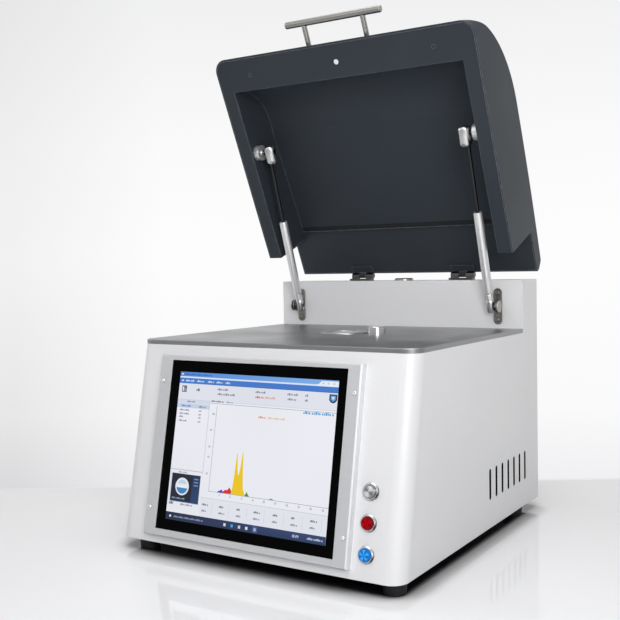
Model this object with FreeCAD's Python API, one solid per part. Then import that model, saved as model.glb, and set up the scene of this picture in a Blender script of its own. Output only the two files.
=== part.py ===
import FreeCAD, Part
import math
import os

from FreeCAD import Vector

# Bench-top X-ray gold tester with an upward opening shielding lid.
# Millimetres, +Z up, +X to the operator's right, +Y to the back.
# Everything is drawn with Y = 0 at the front bottom edge of the body and
# Z = 0 on the bench, and is shifted along Y only when it is written.

# Body
body_width = 424.0
body_depth = 470.0
body_height = 256.4
front_setback = 51.6
corner_radius = 21.0
sheet = 2.0
seam_gap = 0.4
seam_margin = 1.0
pan_flange = 13.0
tower_depth = 63.0
tower_height = 72.2
tower_skirt = 18.0

# Feet
foot_height = 14.0
foot_radius = 14.5
foot_inset_right = 17.5
foot_inset_left = 37.0
foot_inset_front = 21.0
foot_inset_back = 65.0
foot_recess_radius = 5.5
foot_recess_depth = 7.0
foot_taper = 1.2

# Screw sizes used all over the machine
screw_radius = 2.0
screw_clearance = 0.2
screw_head_radius = 3.6
screw_head_height = 2.2
nut_radius = 4.0
nut_height = 3.2
small_screw_radius = 1.5
small_head_radius = 2.9
small_head_height = 1.6

# Top plate
plate_thickness = 6.0
plate_edge = 0.8
window_x = 0.0
window_y = 252.0
window_radius = 7.0
ring_radius = 36.0
ring_thickness = 1.6
ring_step_radius = 27.0
ring_step_depth = 0.8
film_radius = 20.0
film_thickness = 0.3
post_x = 49.5
post_y = 255.0
post_radius = 13.0
post_height = 10.0
post_chamfer = 0.6

# Side vents
vent_count = 7
vent_first_y = 272.3
vent_pitch = 23.2
vent_width = 8.0
vent_bottom = 38.0
vent_top = 81.0

# Display, measured along the leaning front face
frame_left = -161.5
frame_right = 147.0
frame_low = 10.2
frame_high = 247.0
frame_thickness = 11.0
frame_edge = 1.8
glass_left = -141.4
glass_right = 128.6
glass_low = 20.1
glass_high = 240.1
glass_recess = 1.0
glass_thickness = 3.4
glass_clearance = 0.3
screen_left = -126.5
screen_right = 117.1
screen_low = 33.6
screen_high = 225.4
screen_border = 6.0
screen_thickness = 9.0
back_plate_thickness = 1.5
back_plate_margin = 9.0
frame_screw_inset = 7.0
frame_screw_low = 45.4
frame_screw_high = 211.8

# Front buttons, measured along the leaning front face
button_inset = 46.0
button_heights = (29.6, 65.4, 101.2)
button_names = ("blue_button", "red_button", "silver_button")
bezel_radius = 10.4
bezel_height = 3.0
bezel_lip = 1.4
barrel_radius = 9.0
barrel_length = 20.0
bore_radius = 8.0
panel_hole_clearance = 0.3
actuator_clearance = 0.35
actuator_proud = 6.0
actuator_dome = 0.9
actuator_length = 20.1
button_nut_radius = 12.5
button_nut_height = 3.0
switch_radius = 8.8
switch_length = 14.0
terminal_count = 4
terminal_length = 6.0
terminal_radius = 0.9

# Measuring head below the window
head_side = 96.0
head_height = 62.0
beam_radius = 8.0
snout_radius = 7.0
snout_clearance = 0.05
snout_start = 34.0
snout_end = 96.0
snout_angle = 45.0
detector_size = (46.0, 34.0, 70.0)
camera_size = (40.0, 34.0, 46.0)
head_flange = 8.0
head_flange_width = 12.0

# Filter wheel and its motor
wheel_radius = 58.0
wheel_thickness = 3.0
wheel_offset = 50.0
wheel_hole_count = 8
wheel_hole_radius = 4.5
wheel_gap = 1.0
wheel_shaft_radius = 2.5
shaft_clearance = 0.05
motor_radius = 17.5
motor_height = 30.0
motor_shaft_depth = 12.0
motor_gap = 1.0

# X-ray tube
tube_case_side = 56.0
tube_case_wall = 3.0
tube_case_flange = 12.0
tube_shelf_height = 72.0
tube_radius = 21.0
tube_nose_radius = 9.0
tube_nose_height = 6.0
tube_gap = 1.0
tube_cap_height = 4.0

# Electronics
supply_size = (100.0, 190.0, 42.0)
strip_width = 80.0
strip_height = 10.0
supply_inset = 80.0
supply_y = 190.0
supply_shelf_height = 14.0
generator_size = (108.0, 160.0, 78.0)
generator_inset = 76.0
generator_setback = 170.0
generator_ear = 7.2
standoff_height = 12.0
standoff_radius = 3.0
board_thickness = 1.6
control_board_size = (100.0, 120.0)
control_board_x = -140.0
control_board_y = 130.0
computer_board_size = (150.0, 140.0)
computer_board_x = 0.0
computer_board_setback = 78.0
board_hole_inset = 5.0
chip_size = (24.0, 24.0, 3.0)
chip_pitch = 34.0
heat_sink_size = (52.0, 52.0, 20.0)
fin_count = 9
fin_thickness = 1.6
fin_base = 4.0

# Rear panel fittings
fan_x = 128.0
fan_z = 120.0
fan_side = 92.0
fan_depth = 25.0
fan_screw_spacing = 82.5
fan_throat_radius = 43.5
fan_hub_radius = 17.0
fan_blade_radius = 41.5
fan_blade_count = 7
fan_blade_thickness = 2.0
fan_blade_pitch = 35.0
fan_gap = 1.0
fan_arm_depth = 4.0
fan_arm_width = 4.0
fan_pin_radius = 2.5
guard_bar = 2.4
guard_thickness = 1.5
guard_bar_angle = 45.0
guard_rings = (12.0, 22.0, 32.0, 42.0)
inlet_x = -140.0
inlet_z = 62.0
inlet_flange = (30.0, 58.0)
inlet_flange_thickness = 3.0
inlet_body = (26.6, 46.0, 30.0)
socket_size = (24.4, 16.4, 18.0)
socket_drop = 11.0
socket_corner = 3.0
rocker_rise = 12.0
rocker_size = (19.0, 12.0)
rocker_thickness = 8.0
rocker_axis_depth = 2.0
rocker_tilt = 9.0
rocker_clearance = 0.4
rocker_pin_radius = 1.2
rocker_front = 3.4
pin_size = (2.0, 4.0, 14.0)
pin_spacing = 7.0
pin_offset = 2.0
port_count = 2
usb_size = (16.0, 18.0, 9.0)
usb_mouth = (12.6, 10.0, 5.2)
lan_size = (16.6, 21.0, 14.0)
lan_mouth = (12.0, 11.0, 8.0)
port_spacing = 24.0
port_reveal = 0.5

# Lid, drawn closed
lid_gap = 0.5
lid_sheet = 2.0
lid_mouth_drop = 3.0
lid_corner = 21.0
lid_front_y = 66.0
lid_bow_y = 106.5
lid_bow_rise = 67.4
lid_crown_y = 209.0
lid_crown_rise = 111.4
lid_roof_y = 330.0
lid_roof_rise = 111.6
lid_back_rise = 105.9
lid_back_chamfer_y = 8.8
lid_back_chamfer_z = 13.5
lid_back_overhang = 0.6
lid_over_tower = 12.5
notch_bottom_gap = 8.0
notch_top_gap = 2.6
rim_front_depth = 51.5
rim_side_width = 22.9
liner_sheet = 1.5
liner_bow_y = 133.0
liner_bow_rise = 45.2
liner_crown_y = 206.7
liner_crown_rise = 72.4
liner_back_gap = 18.4
liner_lip = 4.1
magnet_radius = 3.7
magnet_length = 9.0
magnet_proud = 0.3
rim_screw_x = 151.0
rim_screw_setback = 28.5
sensor_size = (18.0, 12.0, 24.0)

# Hinges
hinge_overhang = 2.5
hinge_rise = 8.0
hinge_x = 91.0
hinge_width = 40.0
knuckle_radius = 4.2
knuckle_gap = 0.3
knuckle_share = 0.34
pin_radius = 2.0
pin_clearance = 0.05
leaf_thickness = 3.0
base_leaf_depth = 12.0
lid_leaf_depth = 16.0
open_angle = 64.5
stop_x = 0.0
stop_setback = 26.0
stop_radius = 15.3
stop_height = 3.6

# Handle
handle_length = 156.0
handle_spacing = 96.0
handle_radius = 5.0
handle_edge = 1.5
handle_post_radius = 3.8
handle_reach = 36.0
handle_rise = 17.5

# Gas struts
strut_inset = 44.0
strut_low_gap = 15.0
strut_low_rise = 33.0
strut_high_y = 221.5
strut_high_rise = 17.3
tube_outer = 6.5
tube_bore = 4.0
strut_tube_start = 21.0
strut_tube_length = 124.5
tube_end_wall = 2.0
rod_radius = 3.0
rod_clearance = 0.05
rod_tail = 30.0
piston_radius = 3.7
piston_length = 8.0
guide_length = 10.0
upper_socket_radius = 9.2
upper_socket_below = 19.0
upper_socket_above = 10.5
upper_socket_round = 2.5
upper_socket_inset = 3.2
upper_socket_hole = 3.4
lower_socket_radius = 6.0
lower_socket_below = 8.0
lower_socket_above = 10.0
lower_socket_round = 1.0
lower_neck_radius = 5.6
upper_ball_radius = 5.0
lower_ball_radius = 4.0
ball_clearance = 0.08
neck_radius = 2.4
neck_room = 0.6
neck_gap = 0.3
upper_disc_radius = 12.0
upper_disc_length = 9.0
upper_stub_radius = 4.0
upper_stub_length = 2.0
bracket_width = 13.0
bracket_height = 54.0
bracket_thickness = 2.0
bracket_offset = 6.0
bracket_screw_spacing = 40.0
ear_radius = 9.3
ear_thickness = 3.2
ear_setback = 3.0
stud_head_radius = 8.5
stud_head_height = 1.2

# Sizes that follow from the ones above
half_width = body_width / 2
inner_half = half_width - sheet
floor_z = foot_height
plate_under = floor_z + body_height
plate_top = plate_under + plate_thickness
tower_front = body_depth - tower_depth
button_x = half_width - button_inset
supply_x = half_width - supply_inset
generator_x = generator_inset - half_width
generator_y = body_depth - generator_setback
computer_board_y = body_depth - computer_board_setback
lid_back_y = body_depth + lid_back_overhang
notch_bottom_y = tower_front - notch_bottom_gap
notch_top_y = tower_front - notch_top_gap
liner_back_y = tower_front - liner_back_gap
hinge_y = body_depth + hinge_overhang
stop_y = body_depth - stop_setback
strut_x = half_width - strut_inset
strut_low_y = tower_front - strut_low_gap
tower_top = plate_top + tower_height
lean = math.atan2(front_setback, body_height)
lean_degrees = math.degrees(lean)
hinge_z = tower_top + hinge_rise
rim_z = plate_top + lid_gap
lid_half = half_width
opening_half = lid_half - rim_side_width
lid_back_under = tower_top + lid_over_tower


def box(x0, y0, z0, x1, y1, z1):
    """Block between two opposite corners."""
    return Part.makeBox(x1 - x0, y1 - y0, z1 - z0, Vector(x0, y0, z0))


def block_at(size, centre_x, centre_y, low_z):
    """Block of a given size, centred in plan and standing on a height."""
    corner = Vector(centre_x - size[0] / 2, centre_y - size[1] / 2, low_z)
    return Part.makeBox(size[0], size[1], size[2], corner)


def upright_block(centre, size, front_y, back_y):
    """Block centred on an (x, z) point, between two depths."""
    half_x = size[0] / 2
    half_z = size[1] / 2
    x, z = centre
    return box(x - half_x, front_y, z - half_z, x + half_x, back_y, z + half_z)


def rod_along(axis, radius, start, length):
    """Round bar from a start point along one of the three axes."""
    return Part.makeCylinder(radius, length, Vector(*start), axis)


def along_x(radius, start, length):
    return rod_along(Vector(1, 0, 0), radius, start, length)


def along_y(radius, start, length):
    return rod_along(Vector(0, 1, 0), radius, start, length)


def along_z(radius, start, length):
    return rod_along(Vector(0, 0, 1), radius, start, length)


def side_profile(points, x0, x1):
    """Outline of (y, z) points pushed across the width from x0 to x1."""
    corners = [Vector(x0, y, z) for y, z in points]
    face = Part.Face(Part.makePolygon(corners + corners[:1]))
    return face.extrude(Vector(x1 - x0, 0, 0))


def hexagon(radius, start, length):
    """Hexagonal prism along Z; the radius goes to its corners."""
    corners = []
    for step in range(6):
        turn = math.radians(60 * step)
        corner = Vector(radius * math.cos(turn), radius * math.sin(turn), 0)
        corners.append(corner + Vector(*start))
    face = Part.Face(Part.makePolygon(corners + corners[:1]))
    return face.extrude(Vector(0, 0, length))


def turned(shape, angle, axis, centre=(0, 0, 0)):
    """Copy of a shape turned about an axis through a point."""
    copy = shape.copy()
    copy.rotate(Vector(*centre), Vector(*axis), angle)
    return copy


def leaned(shape):
    """Tip a shape drawn upright at the front edge back onto the front face."""
    return turned(shape, -lean_degrees, (1, 0, 0), (0, 0, floor_z))


def opened(shape):
    """Swing a shape drawn on the closed lid up about the hinge."""
    return turned(shape, -open_angle, (1, 0, 0), (0, hinge_y, hinge_z))


def opened_point(y, z):
    turn = math.radians(open_angle)
    dy = y - hinge_y
    dz = z - hinge_z
    new_y = hinge_y + dy * math.cos(turn) + dz * math.sin(turn)
    new_z = hinge_z - dy * math.sin(turn) + dz * math.cos(turn)
    return new_y, new_z


def union(shapes):
    first = shapes[0]
    if len(shapes) == 1:
        return first
    return first.fuse(shapes[1:]).removeSplitter()


# The box made by the floor, the walls and the leaning front, shrunk by an inset
def body_block(inset):
    step = inset / math.cos(lean)
    points = [
        (step, floor_z),
        (body_depth - inset, floor_z),
        (body_depth - inset, plate_under),
        (front_setback + step, plate_under),
    ]
    solid = side_profile(points, inset - half_width, half_width - inset)
    front_edges = []
    for edge in solid.Edges:
        ends = [vertex.Point for vertex in edge.Vertexes]
        upright = abs(ends[0].z - ends[1].z) > body_height / 2
        if upright and max(ends[0].y, ends[1].y) < body_depth / 2:
            front_edges.append(edge)
    return solid.makeFillet(corner_radius - inset, front_edges)


def foot_centres():
    xs = (foot_inset_left - half_width, half_width - foot_inset_right)
    ys = (foot_inset_front, body_depth - foot_inset_back)
    return [(x, y) for x in xs for y in ys]


def base_pan():
    """Folded steel floor with upturned edges inside the walls."""
    whole = body_block(sheet)
    floor = whole.common(box(-body_width, 0, floor_z, body_width, body_depth, floor_z + sheet))
    back = body_depth - sheet
    top = floor_z + sheet + pan_flange
    front = corner_radius + front_setback
    left = box(-inner_half, front, floor_z, sheet - inner_half, back, top)
    right = box(inner_half - sheet, front, floor_z, inner_half, back, top)
    rear = box(-inner_half, back - sheet, floor_z, inner_half, back, top)
    pan = union([floor, left, right, rear])
    for x, y in foot_centres():
        pan = pan.cut(along_z(screw_radius + screw_clearance, (x, y, 0), foot_height * 2))
    return pan


def feet():
    """Four rubber feet, narrower at the bench, recessed for their screws."""
    shapes = []
    for x, y in foot_centres():
        foot = Part.makeCone(foot_radius - foot_taper, foot_radius, foot_height, Vector(x, y, 0))
        foot = foot.cut(along_z(foot_recess_radius, (x, y, 0), foot_recess_depth))
        foot = foot.cut(along_z(screw_radius + screw_clearance, (x, y, 0), foot_height))
        shapes.append(foot)
    return shapes


def foot_screws():
    """One screw up through each foot and the floor, with its nut inside."""
    shapes = []
    seat = floor_z + sheet
    for x, y in foot_centres():
        head = along_z(screw_head_radius, (x, y, foot_recess_depth - screw_head_height), screw_head_height)
        shank = along_z(screw_radius, (x, y, foot_recess_depth), seat + nut_height - foot_recess_depth)
        nut = hexagon(nut_radius, (x, y, seat), nut_height)
        shapes.append(union([head, shank, nut]))
    return shapes


# Openings cut in the front panel for what passes through it
def screen_window(margin):
    return box(
        screen_left - screen_border - margin,
        -body_depth,
        floor_z + screen_low - screen_border - margin,
        screen_right + screen_border + margin,
        body_depth,
        floor_z + screen_high + screen_border + margin,
    )


def frame_screw_places():
    xs = (frame_left + frame_screw_inset, frame_right - frame_screw_inset)
    return [(x, floor_z + s) for x in xs for s in (frame_screw_low, frame_screw_high)]


def button_places():
    return [(button_x, floor_z + s) for s in button_heights]


def front_panel():
    """Leaning front sheet that wraps round both front corners."""
    ring = body_block(0).cut(body_block(sheet))
    reach = corner_radius + seam_margin
    zone = leaned(box(-body_width, -body_depth, -body_height, body_width, reach, body_height * 2))
    panel = ring.common(zone)
    panel = panel.cut(leaned(screen_window(glass_clearance)).common(zone))
    for x, z in button_places():
        hole = along_y(barrel_radius + panel_hole_clearance, (x, -corner_radius, z), corner_radius * 2)
        panel = panel.cut(leaned(hole))
    for x, z in frame_screw_places():
        hole = along_y(small_screw_radius + screw_clearance, (x, -corner_radius, z), corner_radius * 2)
        panel = panel.cut(leaned(hole))
    return panel


def seam_y(z):
    """Where the side panel starts behind the wrapped corner, at a height."""
    reach = corner_radius + seam_margin + seam_gap
    return reach / math.cos(lean) + (z - floor_z) * math.tan(lean)


def side_sheet(x0, x1):
    points = [
        (seam_y(floor_z), floor_z),
        (body_depth, floor_z),
        (body_depth, tower_top),
        (tower_front, tower_top),
        (tower_front, plate_under),
        (seam_y(plate_under), plate_under),
    ]
    panel = side_profile(points, x0, x1)
    half = vent_width / 2
    for index in range(vent_count):
        y = vent_first_y + index * vent_pitch
        low = floor_z + vent_bottom + half
        high = floor_z + vent_top - half
        slot = box(x0, y - half, low, x1, y + half, high)
        ends = [along_x(half, (x0, y, z), x1 - x0) for z in (low, high)]
        panel = panel.cut(union([slot] + ends))
    return panel


def left_side_panel():
    """L-shaped side sheet with vent slots, from the seam to the tower top."""
    return side_sheet(-half_width, -inner_half)


def right_side_panel():
    return side_sheet(inner_half, half_width)


def rear_panel():
    """Back sheet with the fan hole, the power inlet and the port windows."""
    back = body_depth
    panel = box(-inner_half, back - sheet, floor_z, inner_half, back, tower_top)
    panel = panel.cut(along_y(fan_throat_radius, (fan_x, back - sheet, fan_z), sheet))
    for x, z in fan_screw_places():
        panel = panel.cut(along_y(screw_radius + screw_clearance, (x, back - sheet, z), sheet))
    width, height, depth = inlet_body
    panel = panel.cut(upright_block((inlet_x, inlet_z), (width, height), back - depth, back))
    for x, size in port_places():
        low = port_floor() - port_reveal
        half = size[0] / 2 + port_reveal
        high = port_floor() + size[2] + port_reveal
        panel = panel.cut(box(x - half, back - sheet, low, x + half, back, high))
    return panel


def tower_cover():
    """Front and top of the box behind the plate, folded from one sheet."""
    foot = plate_under - tower_skirt
    front = box(-inner_half, tower_front, foot, inner_half, tower_front + sheet, tower_top)
    top = box(-inner_half, tower_front, tower_top - sheet, inner_half, body_depth - sheet, tower_top)
    cover = union([front, top])
    for x, z in bracket_screw_places():
        cover = cover.cut(along_y(screw_radius + screw_clearance, (x, tower_front, z), sheet))
    return cover


def top_plate():
    """Thick steel table with rounded front corners and the beam window."""
    plate = box(-half_width, front_setback, plate_under, half_width, tower_front, plate_top)
    corners = []
    for edge in plate.Edges:
        ends = [vertex.Point for vertex in edge.Vertexes]
        if abs(ends[0].z - ends[1].z) > plate_thickness / 2 and ends[0].y < tower_front / 2:
            corners.append(edge)
    plate = plate.makeFillet(corner_radius, corners)
    rim = []
    for edge in plate.Edges:
        zs = [vertex.Point.z for vertex in edge.Vertexes]
        ys = [vertex.Point.y for vertex in edge.Vertexes]
        if min(zs) > plate_top - plate_edge and min(ys) < tower_front - plate_edge:
            rim.append(edge)
    plate = plate.makeChamfer(plate_edge, rim)
    return plate.cut(along_z(window_radius, (window_x, window_y, plate_under), plate_thickness))


def window_ring():
    """Thin turned ring round the window, stepped to hold the film."""
    ring = along_z(ring_radius, (window_x, window_y, plate_top), ring_thickness)
    rims = [edge for edge in ring.Edges if edge.BoundBox.ZMin > plate_top + ring_thickness / 2]
    ring = ring.makeChamfer(ring_step_depth, rims)
    step = plate_top + ring_thickness - ring_step_depth
    ring = ring.cut(along_z(ring_step_radius, (window_x, window_y, step), ring_thickness))
    return ring.cut(along_z(window_radius, (window_x, window_y, plate_top), ring_thickness))


def window_film():
    """Clear film that keeps dust out of the beam opening."""
    base = plate_top + ring_thickness - ring_step_depth
    return along_z(film_radius, (window_x, window_y, base), film_thickness)


def sample_post():
    """Polished steel locating post beside the window."""
    post = along_z(post_radius, (post_x, post_y, plate_top), post_height)
    rims = [edge for edge in post.Edges if edge.BoundBox.ZMin > plate_top + post_height / 2]
    return post.makeChamfer(post_chamfer, rims)


def display_frame():
    """Brushed frame round the glass, standing proud of the front."""
    frame = box(frame_left, -frame_thickness, floor_z + frame_low, frame_right, 0, floor_z + frame_high)
    outer = [edge for edge in frame.Edges if edge.BoundBox.YMax < -frame_thickness / 2]
    frame = frame.makeChamfer(frame_edge, outer)
    gap = glass_clearance
    hole = box(
        glass_left - gap, -frame_thickness, floor_z + glass_low - gap,
        glass_right + gap, 0, floor_z + glass_high + gap,
    )
    frame = frame.cut(hole)
    for x, z in frame_screw_places():
        start = (x, -frame_thickness, z)
        frame = frame.cut(along_y(small_screw_radius + screw_clearance, start, frame_thickness))
    return leaned(frame)


def touch_glass():
    """Touch glass with its black border, set just below the frame's face."""
    front = glass_recess - frame_thickness
    back = front + glass_thickness
    glass = box(glass_left, front, floor_z + glass_low, glass_right, back, floor_z + glass_high)
    return leaned(glass)


def screen_front():
    return glass_recess + glass_thickness - frame_thickness


def lcd_panel():
    """Display module behind the glass, set in the window of the sheet."""
    border = screen_border
    front = screen_front()
    module = box(
        screen_left - border, front, floor_z + screen_low - border,
        screen_right + border, front + screen_thickness, floor_z + screen_high + border,
    )
    return leaned(module)


def display_back_plate():
    """Tray that clamps the display module to the front sheet."""
    margin = screen_border + back_plate_margin
    low = floor_z + screen_low - screen_border
    high = floor_z + screen_high + screen_border
    face = screen_front() + screen_thickness
    deep = face + back_plate_thickness
    left = screen_left - margin
    right = screen_right + margin
    leg = back_plate_margin / 2
    back = box(left, face, low, right, deep, high)
    left_leg = box(left, sheet, low, left + leg, deep, high)
    right_leg = box(right - leg, sheet, low, right, deep, high)
    return leaned(union([back, left_leg, right_leg]))


def frame_screws():
    """Four screws through the frame and the sheet, each with its nut."""
    shapes = []
    for x, z in frame_screw_places():
        head = along_y(small_head_radius, (x, -frame_thickness - small_head_height, z), small_head_height)
        length = frame_thickness + sheet + nut_height
        shank = along_y(small_screw_radius, (x, -frame_thickness, z), length)
        nut = turned(hexagon(nut_radius, (0, 0, 0), nut_height), -90, (1, 0, 0))
        nut.translate(Vector(x, sheet, z))
        shapes.append(leaned(union([head, shank, nut])))
    return shapes


def button_bezels():
    """Turned metal bezels with their threaded barrels."""
    shapes = []
    for x, z in button_places():
        flange = along_y(bezel_radius, (x, -bezel_height, z), bezel_height)
        rim = [edge for edge in flange.Edges if edge.BoundBox.YMax < -bezel_height / 2]
        flange = flange.makeChamfer(bezel_lip, rim)
        barrel = along_y(barrel_radius, (x, 0, z), barrel_length)
        bezel = union([flange, barrel])
        bezel = bezel.cut(along_y(bore_radius, (x, -bezel_height, z), bezel_height + barrel_length))
        shapes.append(leaned(bezel))
    return shapes


def button_nuts():
    """Hexagon nuts that pull the bezels against the sheet."""
    shapes = []
    for x, z in button_places():
        nut = turned(hexagon(button_nut_radius, (0, 0, 0), button_nut_height), -90, (1, 0, 0))
        nut.translate(Vector(x, sheet, z))
        shapes.append(leaned(nut.cut(along_y(barrel_radius, (x, 0, z), barrel_length))))
    return shapes


def switch_bodies():
    """Contact blocks behind the barrels, with their solder terminals."""
    shapes = []
    for x, z in button_places():
        body = along_y(switch_radius, (x, barrel_length, z), switch_length)
        pins = []
        for index in range(terminal_count):
            turn = 2 * math.pi * index / terminal_count
            px = x + switch_radius / 2 * math.cos(turn)
            pz = z + switch_radius / 2 * math.sin(turn)
            pins.append(along_y(terminal_radius, (px, barrel_length, pz), switch_length + terminal_length))
        shapes.append(leaned(union([body] + pins)))
    return shapes


def button(index):
    """Domed actuator that slides in its barrel."""
    x, z = button_places()[index]
    radius = bore_radius - actuator_clearance
    cap = along_y(radius, (x, -actuator_proud, z), actuator_length)
    rim = [edge for edge in cap.Edges if edge.BoundBox.YMax < -actuator_proud / 2]
    return leaned(cap.makeFillet(actuator_dome, rim))


# Axes of the detector and the camera, both aimed at the sample on the window
def aimed(shape, side):
    """Tip a shape drawn hanging below the sample to one side of the beam."""
    return turned(shape, -side * snout_angle, (0, 1, 0), (window_x, window_y, plate_top))


def snout_bore(side):
    bore = along_z(snout_radius + snout_clearance, (window_x, window_y, plate_top - snout_end), snout_end)
    return aimed(bore, side)


def measuring_head():
    """Machined block under the plate that lines up beam, detector and camera."""
    half = head_side / 2
    low = plate_under - head_height
    block = box(window_x - half, window_y - half, low, window_x + half, window_y + half, plate_under)
    wide = half + head_flange_width
    flange_low = plate_under - head_flange
    flange = box(window_x - wide, window_y - half, flange_low, window_x + wide, window_y + half, plate_under)
    block = union([block, flange])
    block = block.cut(along_z(beam_radius, (window_x, window_y, low), head_height))
    for side in (-1, 1):
        block = block.cut(snout_bore(side))
    return block


def detector():
    """X-ray detector: a snout in the head and its cooled amplifier box."""
    snout = along_z(snout_radius, (window_x, window_y, plate_top - snout_end), snout_end - snout_start)
    case = block_at(detector_size, window_x, window_y, plate_top - snout_end - detector_size[2])
    return aimed(union([snout, case]), 1)


def camera_module():
    """Sample camera, aimed at the window from the other side."""
    snout = along_z(snout_radius, (window_x, window_y, plate_top - snout_end), snout_end - snout_start)
    case = block_at(camera_size, window_x, window_y, plate_top - snout_end - camera_size[2])
    return aimed(union([snout, case]), -1)


def wheel_y():
    return window_y + wheel_offset


def wheel_low():
    return plate_under - head_height - wheel_gap - wheel_thickness


def filter_wheel():
    """Disc of beam filters on the motor's shaft."""
    low = wheel_low()
    disc = along_z(wheel_radius, (window_x, wheel_y(), low), wheel_thickness)
    for index in range(wheel_hole_count):
        turn = 2 * math.pi * index / wheel_hole_count
        x = window_x + wheel_offset * math.sin(turn)
        y = wheel_y() - wheel_offset * math.cos(turn)
        disc = disc.cut(along_z(wheel_hole_radius, (x, y, low), wheel_thickness))
    drop = motor_gap + motor_shaft_depth
    shaft = along_z(wheel_shaft_radius, (window_x, wheel_y(), low - drop), drop)
    return union([disc, shaft])


def wheel_motor():
    """Stepper motor that turns the filter wheel, on a foot of its own."""
    top = wheel_low() - motor_gap
    y = wheel_y()
    low = floor_z + sheet
    body = block_at((motor_radius * 2, motor_radius * 2, motor_height), window_x, y, top - motor_height)
    leg = block_at((motor_radius, sheet * 2, top - motor_height - low), window_x, y, low)
    base = block_at((motor_radius * 2, motor_radius, sheet), window_x, y, low)
    motor = union([body, leg, base])
    start = (window_x, wheel_y(), top - motor_height)
    return motor.cut(along_z(wheel_shaft_radius + shaft_clearance, start, motor_height))


def tube_top():
    """Height of the tube housing's lid, just under the filter wheel."""
    return wheel_low() - tube_gap - tube_nose_height


def tube_housing():
    """Lead lined column that holds the X-ray tube under the wheel."""
    side = tube_case_side
    wall = tube_case_wall
    low = floor_z + sheet
    high = tube_top()
    case = block_at((side, side, high - low), window_x, window_y, low)
    inner = side - 2 * wall
    shelf = low + tube_shelf_height
    case = case.cut(block_at((inner, inner, high - wall - shelf), window_x, window_y, shelf))
    case = case.cut(block_at((inner, inner, shelf - wall - low), window_x, window_y, low))
    nose = along_z(tube_nose_radius, (window_x, window_y, high - wall), wall + tube_nose_height)
    flange = block_at((side + 2 * tube_case_flange, side / 2, sheet), window_x, window_y, low)
    case = union([case, nose, flange])
    beam = along_z(wheel_hole_radius, (window_x, window_y, high - wall), wall + tube_nose_height)
    return case.cut(beam)


def xray_tube():
    """Sealed tube standing on the shelf of its housing."""
    low = floor_z + sheet + tube_shelf_height
    high = tube_top() - tube_case_wall
    cap = along_z(tube_radius, (window_x, window_y, low), tube_cap_height)
    bulb = along_z(tube_radius - tube_cap_height, (window_x, window_y, low), high - low)
    head = along_z(tube_radius, (window_x, window_y, high - tube_cap_height), tube_cap_height)
    tube = union([cap, bulb, head])
    beam = along_z(wheel_hole_radius, (window_x, window_y, high - tube_cap_height), tube_cap_height)
    return tube.cut(beam)


def high_voltage_supply():
    """Sealed generator bolted to the floor, with its round cable socket."""
    low = floor_z + sheet
    case = block_at(generator_size, generator_x, generator_y, low)
    uprights = [edge for edge in case.Edges if edge.BoundBox.ZLength > generator_size[2] / 2]
    case = case.makeFillet(screw_head_radius, uprights)
    flange_size = (generator_size[0] / 2, generator_size[1] + 2 * generator_ear, sheet)
    flange = block_at(flange_size, generator_x, generator_y, low)
    socket = along_z(tube_nose_radius, (generator_x, generator_y, low + generator_size[2]), tube_nose_radius)
    return union([case, flange, socket])


def power_supply():
    """Open-frame supply in its vented case, with a terminal strip."""
    low = floor_z + sheet
    case = block_at(supply_size, supply_x, supply_y, low)
    back = supply_y + supply_size[1] / 2
    shelf = low + supply_shelf_height
    half = supply_size[0] / 2
    notch = box(supply_x - half, back - standoff_height, shelf, supply_x + half, back, low + supply_size[2])
    case = case.cut(notch)
    strip_size = (strip_width, standoff_height - sheet, strip_height)
    strip = block_at(strip_size, supply_x, back - standoff_height / 2, shelf)
    return union([case, strip])


def board_corners(size, x, y):
    dx = size[0] / 2 - board_hole_inset
    dy = size[1] / 2 - board_hole_inset
    return [(x + sx * dx, y + sy * dy) for sx in (-1, 1) for sy in (-1, 1)]


def circuit_board(size, x, y):
    low = floor_z + sheet + standoff_height
    return block_at((size[0], size[1], board_thickness), x, y, low)


def board_top():
    return floor_z + sheet + standoff_height + board_thickness


def board_standoffs():
    """Pillars that carry both circuit boards above the floor."""
    shapes = []
    for x, y in board_corners(control_board_size, control_board_x, control_board_y):
        shapes.append(hexagon(standoff_radius, (x, y, floor_z + sheet), standoff_height))
    for x, y in board_corners(computer_board_size, computer_board_x, computer_board_y):
        shapes.append(hexagon(standoff_radius, (x, y, floor_z + sheet), standoff_height))
    return shapes


def control_board():
    """Board that reads the detector and drives the tube and the wheel."""
    board = circuit_board(control_board_size, control_board_x, control_board_y)
    chips = []
    for row in (-1, 0, 1):
        x = control_board_x + row * chip_size[0] / 2
        y = control_board_y + row * chip_pitch
        chips.append(block_at(chip_size, x, y, board_top()))
    return union([board] + chips)


def computer_board():
    """Small computer board, its edge behind the port windows."""
    board = circuit_board(computer_board_size, computer_board_x, computer_board_y)
    chip = block_at(chip_size, computer_board_x, computer_board_y - chip_size[1], board_top())
    return union([board, chip])


def circuit_boards():
    return [control_board(), computer_board()]


def heat_sink():
    """Finned cooler on the computer's processor."""
    low = board_top() + chip_size[2]
    y = computer_board_y - chip_size[1]
    base = block_at((heat_sink_size[0], heat_sink_size[1], fin_base), computer_board_x, y, low)
    fins = []
    pitch = (heat_sink_size[0] - fin_thickness) / (fin_count - 1)
    for index in range(fin_count):
        x = computer_board_x - heat_sink_size[0] / 2 + fin_thickness / 2 + index * pitch
        fins.append(block_at((fin_thickness, heat_sink_size[1], heat_sink_size[2]), x, y, low))
    return union([base] + fins)


def port_floor():
    return board_top()


def port_places():
    """Plan position and outside size of each connector at the back."""
    first = computer_board_x - port_spacing / 2
    places = [(first - port_spacing * index, usb_size) for index in range(port_count)]
    places.append((first + port_spacing, lan_size))
    return places


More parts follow.
